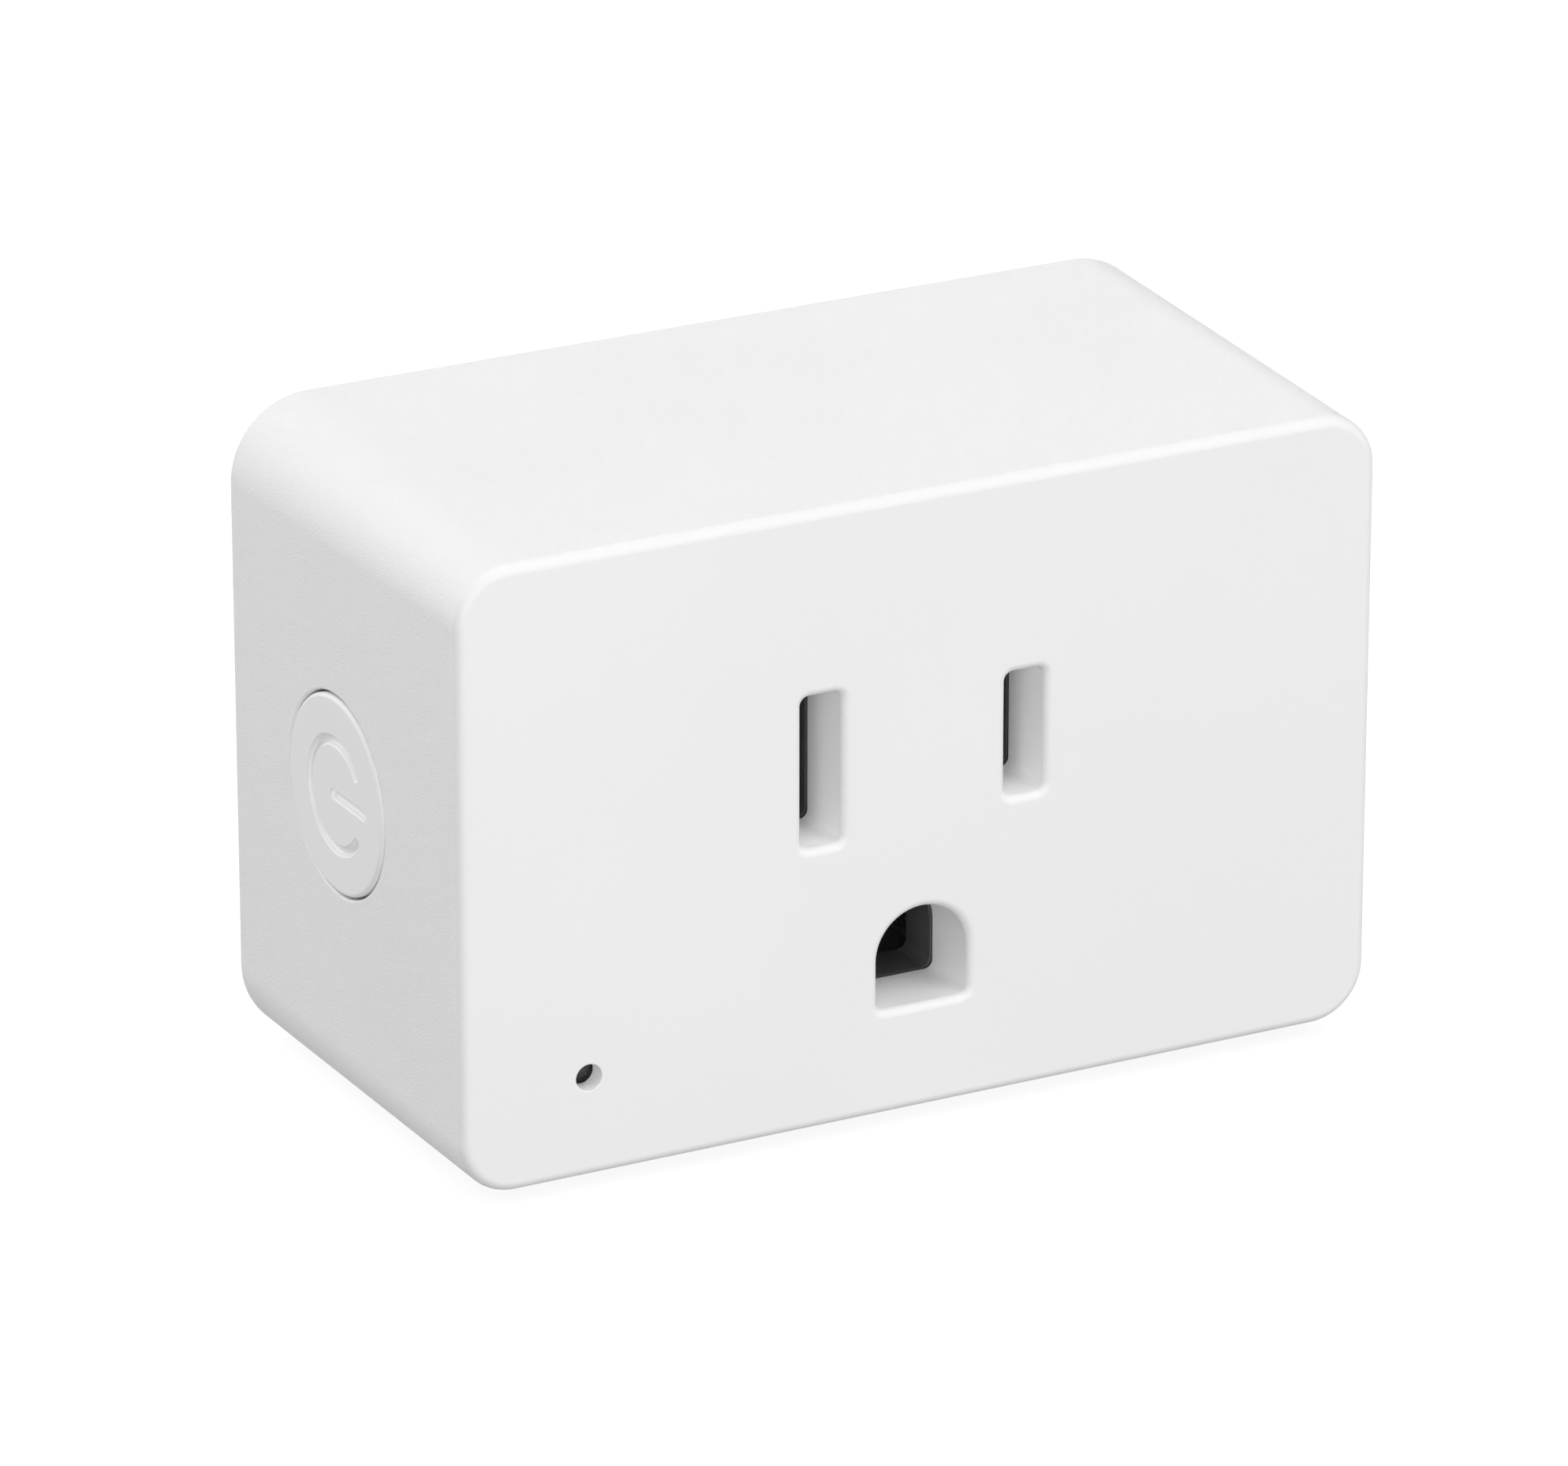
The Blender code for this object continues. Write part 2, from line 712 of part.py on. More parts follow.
def power_button():
    """The round cap follows the side's draft; its square flange keeps it from turning."""
    sides = 40
    slope = SIDE_DRAFT / BODY_DEPTH
    face = side_x(BUTTON_Y) - BUTTON_PROUD

    def ring(radius, x, tilt):
        return [
            (x - tilt * slope * y, BUTTON_Y + y, BUTTON_Z + z)
            for y, z in arc((0, 0), radius, 0, 360, sides)[:-1]
        ]

    rings = []
    for angle in (0, 30, 60, 90):
        radius = BUTTON_RADIUS - BUTTON_EDGE * (1 - math.sin(math.radians(angle)))
        deep = BUTTON_EDGE * (1 - math.cos(math.radians(angle)))
        rings.append(ring(radius, face + deep, 1))
    flange_front, flange_back, stem_end = -26.6, -25.9, -25.2
    rings.append(ring(BUTTON_RADIUS, flange_front + 0.3, 0))
    button = loft("power_button", WHITE_BUTTON, rings)
    half = BUTTON_FLANGE / 2
    flange = block(
        "button_flange",
        None,
        (flange_front, BUTTON_Y - half, BUTTON_Z - half),
        (flange_back, BUTTON_Y + half, BUTTON_Z + half),
    )
    combine(button, flange, "UNION")
    stem = rod(
        "button_stem",
        None,
        2.0,
        (flange_back - 0.3, BUTTON_Y, BUTTON_Z),
        (stem_end, BUTTON_Y, BUTTON_Z),
    )
    combine(button, stem, "UNION")
    for cutter in power_symbol_cutters():
        combine(button, cutter)
    move_origin(button, (face, BUTTON_Y, BUTTON_Z))


def move_origin(item, point):
    """Moves an object's origin to point and leaves its shape where it is."""
    target = Vector(point) * MM
    item.data.transform(Matrix.Translation(item.location - target))
    item.location = target


def tact_switch():
    y, z = BUTTON_Y, BUTTON_Z
    body = block(
        "tact_switch_body", BLACK_PLASTIC, (-24.2, y - 3, z - 3), (CONTROL_X[0] - 0.15, y + 3, z + 3)
    )
    combine(body, rod("cut_pocket", None, 2.5, (-25.0, y, z), (-22.8, y, z), 20))
    cover = block(
        "tact_switch_cover", TINNED_SHIELD, (-24.5, y - 2.9, z - 2.9), (-24.3, y + 2.9, z + 2.9)
    )
    combine(cover, rod("cut_plunger_hole", None, 1.75, (-25.0, y, z), (-24.0, y, z), 20))
    plunger = [
        (0.0, 0.0),
        (1.35, 0.0),
        (1.55, -0.2),
        (1.55, -0.9),
        (2.2, -0.9),
        (2.2, -1.3),
        (0.8, -1.3),
        (0.8, -1.7),
        (0.0, -1.7),
    ]
    turned("tact_switch_plunger", BLACK_PLASTIC, plunger, (-25.1, y, z), (-1, 0, 0))
    rise, reach = 0.35, 2.1
    radius = (reach**2 + rise**2) / (2 * rise)
    outer = arc((0, rise - radius), radius, 90, 90 - math.degrees(math.asin(reach / radius)), 4)
    inner = [(r, h - 0.12) for r, h in reversed(outer)]
    turned("tact_switch_dome", SILVER_CONTACT, outer + inner, (-22.98, y, z), (-1, 0, 0), 16)


# ---------------------------------------------------------------- boards


def main_board():
    board = block(
        "main_board", GREEN_BOARD, (-25.2, BOARD_FRONT, -16.2), (25.2, BOARD_REAR, 16.2)
    )
    for index, (sx, sz) in enumerate(CORNERS, 1):
        xs = sorted((sx * 21.8, sx * 30))
        zs = sorted((sz * 11.8, sz * 20))
        notch = block(f"notch_{index}", None, (xs[0], -9, zs[0]), (xs[1], 0, zs[1]))
        combine(board, notch)
    for name, x in (("neutral", NEUTRAL_X), ("hot", HOT_X)):
        slot = block(
            f"cut_{name}_tail", None, (x - 1.1, -9, BLADE_Z - 2.4), (x + 1.1, 0, BLADE_Z + 2.4)
        )
        combine(board, slot)
    combine(board, rod("cut_pin_tail", None, 1.8, (0, -9, GROUND_Z), (0, 0, GROUND_Z), 12))


def control_board():
    """The upright board beside the button, with the radio module and the status light."""
    left, right = CONTROL_X
    block("control_board", GREEN_BOARD, (left, -22.8, -13.6), (right, -6.4, 12.6))
    block("board_connector", BLACK_PLASTIC, (CONTROL_FRONT, -7.9, -13.4), (-18.6, SOLDER_Y, -8.6), 0.2)
    module = CONTROL_FRONT + 0.8
    block("wifi_module_board", BLUE_BOARD, (CONTROL_FRONT, -21.0, -7.8), (module, -8.4, 12.0))
    can = block(
        "wifi_shield_can", TINNED_SHIELD, (module + 0.1, -20.4, -7.2), (-17.9, -9.0, 6.4), 0.2
    )
    inside = block("cut_can", None, (module - 1.0, -20.1, -6.9), (-18.2, -9.3, 6.1))
    combine(can, inside)
    block("status_led", LED_BODY, (CONTROL_FRONT, -22.7, -13.0), (-19.6, -21.1, -11.4), 0.15)
    front, back = (-y for y in LIGHT_PIPE_Y)
    radius = LIGHT_PIPE_RADIUS
    pipe = [(0.0, front), (radius, front), (radius, back), (0.0, back)]
    turned("light_pipe", CLEAR_PLASTIC, pipe, (LED_X, 0, LED_Z), (0, -1, 0), 12)


def can_capacitor(name, radius, height, x, z):
    """An electrolytic capacitor: a sleeved can with a groove near its foot."""
    top = -SOLDER_Y + height
    foot = -SOLDER_Y
    profile = [
        (0.0, top - 0.2),
        (radius - 0.8, top - 0.2),
        (radius - 0.6, top),
        (radius - 0.3, top),
        (radius, top - 0.3),
        (radius, foot + 2.4),
        (radius - 0.35, foot + 2.0),
        (radius, foot + 1.6),
        (radius, foot + 0.3),
        (radius - 0.3, foot),
        (0.0, foot),
    ]
    turned(name, CAPACITOR_SLEEVE, profile, (x, 0, z), (0, -1, 0), 20)


def board_parts():
    can_capacitor("mains_capacitor", 4.0, 12.0, 16.6, -11.6)
    can_capacitor("output_capacitor", 3.15, 9.5, -14.4, -2.5)
    foot = -SOLDER_Y
    drum = [
        (0.0, foot + 7.0),
        (3.0, foot + 7.0),
        (3.0, foot + 6.0),
        (2.6, foot + 5.9),
        (2.6, foot + 1.1),
        (3.0, foot + 1.0),
        (3.0, foot),
        (0.0, foot),
    ]
    turned("filter_inductor", FERRITE, drum, (-14.4, 0, 5.2), (0, -1, 0), 16)
    block("suppression_capacitor", YELLOW_EPOXY, (-9.6, -17.0, 10.3), (2.6, SOLDER_Y, 15.6), 0.5)
    disc = [(0.0, 1.6), (3.0, 1.6), (3.4, 1.2), (3.4, -1.2), (3.0, -1.6), (0.0, -1.6)]
    turned("surge_varistor", BLUE_EPOXY, disc, (6.9, SOLDER_Y - 3.6, 12.6), (0, 0, 1), 16)
    body = [
        (0.0, foot + 9.0),
        (1.2, foot + 9.0),
        (1.5, foot + 8.6),
        (1.5, foot + 7.6),
        (1.3, foot + 7.3),
        (1.3, foot + 2.2),
        (1.5, foot + 1.9),
        (1.5, foot + 0.9),
        (1.2, foot + 0.5),
        (0.4, foot + 0.5),
        (0.4, foot),
        (0.0, foot),
    ]
    turned("fuse_resistor", RESISTOR_COAT, body, (23.6, 0, -8.9), (0, -1, 0), 12)
    chip_top = SOLDER_Y - 1.6
    block("bridge_rectifier", BLACK_PLASTIC, (-16.9, chip_top, 10.4), (-12.1, SOLDER_Y, 14.4), 0.2)
    block("converter_chip", BLACK_PLASTIC, (-16.9, chip_top, -11.8), (-12.0, SOLDER_Y, -7.9), 0.2)


# ---------------------------------------------------------------- relay


def relay_case_and_base():
    x, low, high = RELAY_X, -6.4, 11.9
    case = block("relay_case", RELAY_PLASTIC, (x - 5.4, -22.4, low), (x + 5.4, -7.6, high), 0.4)
    wall = 0.7
    inside = block(
        "cut_case", None, (x - 5.4 + wall, -22.4 + wall, low + wall), (x + 5.4 - wall, -5, high - wall)
    )
    combine(case, inside)
    base = block("relay_base", RELAY_PLASTIC, (x - 5.4, -7.4, low), (x + 5.4, SOLDER_Y, high), 0.2)
    fixed_leg = block("cut_fixed_leg", None, (x - 2.3, -9, 9.7), (x + 2.3, -4, 10.9))
    common_leg = block("cut_common_leg", None, (x - 1.8, -9, -5.5), (x + 1.8, -4, -4.3))
    combine(base, fixed_leg)
    combine(base, common_leg)
    for index, side in enumerate((-1, 1), 1):
        place = (x + side * 3.4, 6.6)
        start, end = (place[0], -9, place[1]), (place[0], -4, place[1])
        hole = rod(f"cut_coil_pin_{index}", None, 0.6, start, end, 8)
        combine(base, hole)
        rod(
            f"relay_coil_pin_{index}",
            SILVER_CONTACT,
            0.35,
            (place[0], -9.6, place[1]),
            (place[0], SOLDER_Y, place[1]),
            8,
        )


def relay_magnet():
    """Bobbin, winding, core and yoke. Heights below are measured towards the outlet face."""
    x = RELAY_X
    bobbin = [
        (4.4, 17.6),
        (4.4, 16.9),
        (2.05, 16.9),
        (2.05, 9.7),
        (4.4, 9.7),
        (4.4, 9.0),
        (1.5, 9.0),
        (1.5, 17.6),
    ]
    turned("relay_bobbin", BOBBIN_PLASTIC, bobbin, (x, 0, COIL_Z), (0, -1, 0), 20, ring=True)
    winding = [(4.1, 16.75), (4.1, 9.85), (2.2, 9.85), (2.2, 16.75)]
    turned("relay_coil", COIL_WIRE, winding, (x, 0, COIL_Z), (0, -1, 0), 20, ring=True)
    pole = -POLE_Y
    core = [(0.0, pole), (2.8, pole), (2.8, 17.8), (1.25, 17.8), (1.25, 9.1), (0.0, 9.1)]
    turned("relay_core", SOFT_IRON, core, (x, 0, COIL_Z), (0, -1, 0), 16)
    ribbon(
        "relay_yoke",
        SOFT_IRON,
        [(HINGE_Z, POLE_Y + 0.1), (HINGE_Z, -8.3), (3.0, -8.3)],
        7.2,
        1.0,
        lambda a, b, across: (x + across, b, a),
    )
    block(
        "relay_common_terminal", COPPER_ALLOY, (x - 1.5, -7.6, -5.2), (x + 1.5, SOLDER_Y, -4.6)
    )


def relay_contacts():
    x = RELAY_X
    ribbon(
        "relay_fixed_terminal",
        COPPER_ALLOY,
        [(6.8, -17.15), (10.3, -17.15), (10.3, SOLDER_Y)],
        4.0,
        0.5,
        lambda a, b, across: (x + across, b, a),
    )
    button = [(0.0, 0.9), (0.9, 0.85), (1.5, 0.5), (1.5, 0.0), (0.0, 0.0)]
    turned("relay_fixed_contact", SILVER_CONTACT, button, (x, -17.55, CONTACT_Z), (0, -1, 0), 14)
    moving = [
        relay_armature_plate(x),
        block(
            "relay_moving_spring", COPPER_ALLOY, (x - 2.2, -19.95, -4.4), (x + 2.2, -19.65, 9.8)
        ),
        turned("relay_moving_contact", SILVER_CONTACT, button, (x, -19.5, CONTACT_Z), (0, 1, 0), 14),
    ]
    hang_on_hinge(moving)


def relay_armature_plate(x):
    return block(
        "relay_armature", SOFT_IRON, (x - 3.6, HINGE_Y - 0.9, -5.3), (x + 3.6, HINGE_Y, 3.2), 0.1
    )


def hang_on_hinge(pieces):
    """Parents the pieces to an empty on the hinge line, and opens it to the rest angle."""
    hinge = bpy.data.objects.new("relay_armature_hinge", None)
    hinge.location = Vector((RELAY_X, HINGE_Y, HINGE_Z)) * MM
    PARTS.objects.link(hinge)
    for piece in pieces:
        piece.parent = hinge
        piece.location -= hinge.location
    hinge.rotation_euler = (math.radians(ARMATURE_OPEN), 0.0, 0.0)


# ---------------------------------------------------------------- the assembly


def build():
    front_housing()
    rear_cover()
    cover_screws()
    prongs()
    contacts()
    power_button()
    tact_switch()
    main_board()
    control_board()
    board_parts()
    relay_case_and_base()
    relay_magnet()
    relay_contacts()


build()
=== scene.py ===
"""The looks of the smart plug: fine moulded shell, button, prongs, screws, light and materials.

Sizes are millimetres and the shape helpers turn them into metres. Only the studio's own sizes,
in the last part, are metres. Places come from the frame.
"""

import json
import math

import bmesh
import bpy
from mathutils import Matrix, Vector


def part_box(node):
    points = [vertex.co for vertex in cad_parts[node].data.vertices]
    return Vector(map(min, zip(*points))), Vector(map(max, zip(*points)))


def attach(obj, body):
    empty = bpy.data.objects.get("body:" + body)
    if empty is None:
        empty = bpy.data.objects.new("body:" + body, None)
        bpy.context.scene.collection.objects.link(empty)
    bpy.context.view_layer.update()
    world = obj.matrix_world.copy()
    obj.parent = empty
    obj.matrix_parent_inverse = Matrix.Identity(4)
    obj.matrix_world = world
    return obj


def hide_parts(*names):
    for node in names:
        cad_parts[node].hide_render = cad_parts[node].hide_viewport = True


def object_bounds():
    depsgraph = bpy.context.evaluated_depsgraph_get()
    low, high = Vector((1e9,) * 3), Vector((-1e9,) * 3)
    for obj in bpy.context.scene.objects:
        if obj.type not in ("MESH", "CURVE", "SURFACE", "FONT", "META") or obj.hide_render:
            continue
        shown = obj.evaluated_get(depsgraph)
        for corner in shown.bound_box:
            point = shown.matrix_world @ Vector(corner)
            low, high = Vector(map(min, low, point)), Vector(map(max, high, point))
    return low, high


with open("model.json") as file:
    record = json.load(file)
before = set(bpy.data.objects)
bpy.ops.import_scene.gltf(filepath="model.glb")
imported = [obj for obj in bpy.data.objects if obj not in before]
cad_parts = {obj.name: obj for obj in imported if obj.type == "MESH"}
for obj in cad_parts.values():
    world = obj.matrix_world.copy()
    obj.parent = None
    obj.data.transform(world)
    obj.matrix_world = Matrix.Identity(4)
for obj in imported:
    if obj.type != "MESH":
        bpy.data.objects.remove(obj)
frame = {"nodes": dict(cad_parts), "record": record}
CAD_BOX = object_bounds()

MM = 0.001


def box_mm(node):
    """A CAD node's lowest and highest corners, in millimetres."""
    low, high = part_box(node)
    return Vector(low) / MM, Vector(high) / MM


def centre_mm(node):
    """The middle of a CAD node's box, in millimetres."""
    low, high = box_mm(node)
    return [(low[axis] + high[axis]) / 2 for axis in range(3)]


# ---------------------------------------------------------------- sizes

HOUSING_LOW, HOUSING_HIGH = box_mm("front_housing")
COVER_LOW, COVER_HIGH = box_mm("rear_cover")
BUTTON_LOW, BUTTON_HIGH = box_mm("power_button")

# Body. The CAD box is the rear outline; the outlet face is smaller by the mould draft.
SIDE_DRAFT = 0.65
TOP_DRAFT = 1.0
BODY_DEPTH = HOUSING_HIGH.y - HOUSING_LOW.y
SIDE_SLOPE = SIDE_DRAFT / BODY_DEPTH
BODY_WIDTH = 2 * HOUSING_HIGH.x - 2 * SIDE_DRAFT
BODY_HEIGHT = 2 * HOUSING_HIGH.z - 2 * TOP_DRAFT
FACE_CORNER = 3.3
REAR_CORNER = 4.8
FACE_EDGE = 0.6
FACE_POLISH = 0.1
REAR_EDGE = 0.4
SHELL = 1.8
FACE_THICKNESS = 2.2
SOCKET_DEPTH = 4.35
RIM = 1.2
SEAM = 0.2
COVER_THICKNESS = COVER_HIGH.y - COVER_LOW.y
COVER_EDGE = 0.25
COVER_CLEARANCE = 0.2
SHELF = 2.0
CORNER_STEPS = 20
SMALLEST_CORNER = 0.6

# How far joined solids go into each other, and how far a cutter starts outside a surface
OVERLAP = 0.3
BEYOND = 1.0

# Openings. A slot is (width, height), and the light tube is (radius, bore radius, depth).
HOT_X, _, BLADE_Z = centre_mm("hot_blade")
NEUTRAL_X, _, _ = centre_mm("neutral_blade")
_, _, GROUND_Z = centre_mm("ground_pin")
CARRIER_LOW, CARRIER_HIGH = box_mm("contact_carrier")
NEUTRAL_SLOT = (2.55, 9.0)
HOT_SLOT = (2.5, 7.4)
SLOT_LIP = 0.5
SLOT_CORNER = 0.5
GROUND_HOLE_RADIUS = 2.85
GROUND_HOLE_FLOOR = 2.95
GROUND_HOLE_Z = GROUND_Z - 0.25
LED_X, _, LED_Z = centre_mm("light_pipe")
LED_RADIUS = 0.78
LED_LIP = 0.08
LED_HOLE_DEPTH = 1.15
LED_CUT_DEPTH = 4.6
LIGHT_TUBE = (2.2, 1.35, 5.1)

# Button. The symbol's bar is given by its ends, and the gap in its ring by half its angle.
_, BUTTON_Y, BUTTON_Z = centre_mm("tact_switch_plunger")
BUTTON_HOLE_RADIUS = 5.95
BUTTON_HOLE_LIP = 0.15
BUTTON_RADIUS = 5.8
BUTTON_PROUD = 0.1
BUTTON_EDGE = 0.25
BUTTON_SIDES = 128
FLANGE_FRONT, STEM_START = BUTTON_HIGH.x - 1.4, BUTTON_HIGH.x - 0.7
STEM_RADIUS = 2.0
SYMBOL_RADIUS = 3.2
SYMBOL_WIDTH = 0.5
SYMBOL_DEPTH = 0.3
SYMBOL_LIP = 0.12
SYMBOL_OPENING = 38.0
SYMBOL_BAR = (0.3, -3.5)

# Prongs. The blade's hole is (radius, y). The pin's flange is (radius, front, rear), and its
# tail (radius, end).
BLADE_LOW, BLADE_HIGH = box_mm("hot_blade")
BLADE_THICKNESS = BLADE_HIGH.x - BLADE_LOW.x
BLADE_LENGTH = BLADE_HIGH.y
BLADE_HEIGHT = 6.3
BLADE_CORNER = 1.4
BLADE_COIN = 0.28
BLADE_HOLE = (1.8, 11.9)
BLADE_NECK, BLADE_SHOULDER = 2.0, 4.4
SHOULDER_FRONT, SHOULDER_REAR = -2.3, -3.7
PIN_LENGTH = box_mm("ground_pin")[1].y
PIN_RADIUS = 2.4
PIN_FLANGE = (3.6, -2.3, -3.5)
PIN_TAIL = (1.4, -7.3)

# Screws. AXIS is the radius of a turned body's end rings, since a ring can't be a point.
SCREW_HEAD_RADIUS = (box_mm("cover_screw_1")[1].x - box_mm("cover_screw_1")[0].x) / 2
SCREW_RADIUS = 1.0
SCREW_RECESS = 1.2
SCREW_CROWN = 0.28
SCREW_PITCH = 0.8
SCREW_POINT = 0.9
THREAD_DEPTH = 0.2
WING_LENGTH, WING_WIDTH, WING_DEPTH = 1.15, 0.42, 0.75
AXIS = 0.02

BODY = {"root": "housing", "button": "button"}


# ---------------------------------------------------------------- shape helpers


def link(name, mesh, material=None, location=(0.0, 0.0, 0.0), rotation=None):
    """A new object in the scene, at this location in millimetres."""
    made = bpy.data.objects.new(name, mesh)
    made.location = Vector(location) * MM
    if rotation is not None:
        made.rotation_euler = rotation
    if material is not None:
        mesh.materials.append(material)
    bpy.context.scene.collection.objects.link(made)
    return made


def mesh_of(name, shape):
    mesh = bpy.data.meshes.new(name)
    shape.to_mesh(mesh)
    shape.free()
    return mesh


def smooth(item, degrees):
    """Smooth shading, with sharp edges where faces meet at more than this angle."""
    item.data.shade_smooth()
    item.data.set_sharp_from_angle(angle=math.radians(degrees))


def weigh_normals(item):
    """Shading by face area, which keeps large flat faces flat."""
    made = item.modifiers.new("weighted_normals", "WEIGHTED_NORMAL")
    made.weight = 100
    made.keep_sharp = True


def even_normals(item, degrees=35.0):
    """Smooth shading that keeps sharp edges sharp and large flat faces flat."""
    smooth(item, degrees)
    weigh_normals(item)


def round_edges(item, name, width, segments, degrees):
    """Rounds the edges where faces meet at more than this angle."""
    edge = item.modifiers.new(name, "BEVEL")
    edge.width = width * MM
    edge.segments = segments
    edge.limit_method = "ANGLE"
    edge.angle_limit = math.radians(degrees)


def loft(name, material, rings):
    """A body through rings of equally many points, capped at both ends."""
    shape = bmesh.new()
    rows = [[shape.verts.new(Vector(point) * MM) for point in ring] for ring in rings]
    for first, second in zip(rows, rows[1:]):
        count = len(first)
        for index in range(count):
            after = (index + 1) % count
            shape.faces.new((first[index], first[after], second[after], second[index]))
    shape.faces.new(rows[0])
    shape.faces.new(rows[-1])
    bmesh.ops.recalc_face_normals(shape, faces=shape.faces)
    return link(name, mesh_of(name, shape), material)


def rod(name, radius, start, end, sides=64):
    start, end = Vector(start), Vector(end)
    shape = bmesh.new()
    bmesh.ops.create_cone(
        shape,
        cap_ends=True,
        segments=sides,
        radius1=radius * MM,
        radius2=radius * MM,
        depth=(end - start).length * MM,
    )
    turn = (end - start).to_track_quat("Z", "Y").to_euler()
    return link(name, mesh_of(name, shape), None, (start + end) / 2, turn)


def block(name, low, high):
    low, high = Vector(low), Vector(high)
    shape = bmesh.new()
    bmesh.ops.create_cube(shape, size=1.0)
    bmesh.ops.scale(shape, vec=(high - low) * MM, verts=shape.verts)
    return link(name, mesh_of(name, shape), None, (low + high) / 2)


def combine(item, tool, operation="DIFFERENCE"):
    """Applies a Boolean at once and removes its tool."""
    made = item.modifiers.new("cut", "BOOLEAN")
    made.operation = operation
    made.solver = "EXACT"
    made.material_mode = "TRANSFER"
    made.object = tool
    bpy.context.view_layer.update()
    graph = bpy.context.evaluated_depsgraph_get()
    result = bpy.data.meshes.new_from_object(item.evaluated_get(graph))
    item.modifiers.remove(made)
    old = item.data
    item.data = result
    result.name = item.name
    bpy.data.meshes.remove(old)
    bpy.data.objects.remove(tool, do_unlink=True)


def arc(centre, radius, start, end, steps):
    """Points round part of a circle, both ends included. Angles are degrees."""
    found = []
    for step in range(steps + 1):
        angle = math.radians(start + (end - start) * step / steps)
        found.append(
            (centre[0] + radius * math.cos(angle), centre[1] + radius * math.sin(angle))
        )
    return found


def circle(radius, sides):
    return arc((0, 0), radius, 0, 360, sides)[:-1]


def turned(name, material, profile, x, z, sides):
    """A body turned round an axis along Y, through (radius, y) pairs."""
    rings = [[(x + px, y, z + pz) for px, pz in circle(radius, sides)] for radius, y in profile]
    return loft(name, material, rings)


def rounded_rectangle(width, height, radius, steps=CORNER_STEPS):
    across, up = width / 2 - radius, height / 2 - radius
    corners = ((across, up), (-across, up), (-across, -up), (across, -up))
    found = []
    for index, corner in enumerate(corners):
        found += arc(corner, radius, 90 * index, 90 * index + 90, steps)
    return found


def arch(radius, floor, corner):
    """The ground opening: a half circle above, and a flat floor with small corners below."""
    found = arc((0, 0), radius, 0, 180, 32)
    found += arc((-radius + corner, -floor + corner), corner, 180, 270, 6)
    found += arc((radius - corner, -floor + corner), corner, 270, 360, 6)
    return found


def stroke(path, width, steps=10):
    """The outline of a line of this width along path, with round ends."""
    half = width / 2
    points = [Vector(point) for point in path]
    left, right = [], []
    for index, point in enumerate(points):
        before = points[max(index - 1, 0)]
        after = points[min(index + 1, len(points) - 1)]
        along = (after - before).normalized()
        side = Vector((-along.y, along.x)) * half
        left.append(tuple(point + side))
        right.append(tuple(point - side))
    first = math.degrees(math.atan2(*(points[1] - points[0]).yx))
    last = math.degrees(math.atan2(*(points[-1] - points[-2]).yx))
    end = arc(points[-1], half, last - 90, last + 90, steps)[1:-1]
    start = arc(points[0], half, first + 90, first + 270, steps)[1:-1]
    return right + end + left[::-1] + start


def fillet(radius, steps):
    """(inset, depth) pairs round a quarter circle, from the side to the face."""
    found = []
    for step in range(steps + 1):
        angle = math.radians(90 * step / steps)
        found.append((radius * (1 - math.cos(angle)), radius * (1 - math.sin(angle))))
    return found


def lip_curve(radius, steps):
    """(widening, depth) pairs of an opening's rounded lip, from the face to the wall."""
    return [(depth, inset) for inset, depth in fillet(radius, steps)]


def at_depth(outline, y):
    return [(x, y, z) for x, z in outline]


def shifted(outline, x, z):
    return [(px + x, pz + z) for px, pz in outline]


def body_share(y):
    """0 at the outlet face, 1 at the rear face."""
    return (y - HOUSING_LOW.y) / BODY_DEPTH


def side_x(y):
    """Where the left side is at depth y."""
    return -(BODY_WIDTH / 2 + SIDE_DRAFT * body_share(y))


def body_section(y, inset):
    """The body's outline at depth y, moved in from the outer surface by inset."""
    share = body_share(y)
    width = BODY_WIDTH + 2 * SIDE_DRAFT * share - 2 * inset
    height = BODY_HEIGHT + 2 * TOP_DRAFT * share - 2 * inset
    radius = FACE_CORNER + (REAR_CORNER - FACE_CORNER) * share - inset
    return at_depth(rounded_rectangle(width, height, max(radius, SMALLEST_CORNER)), y)


# ---------------------------------------------------------------- materials


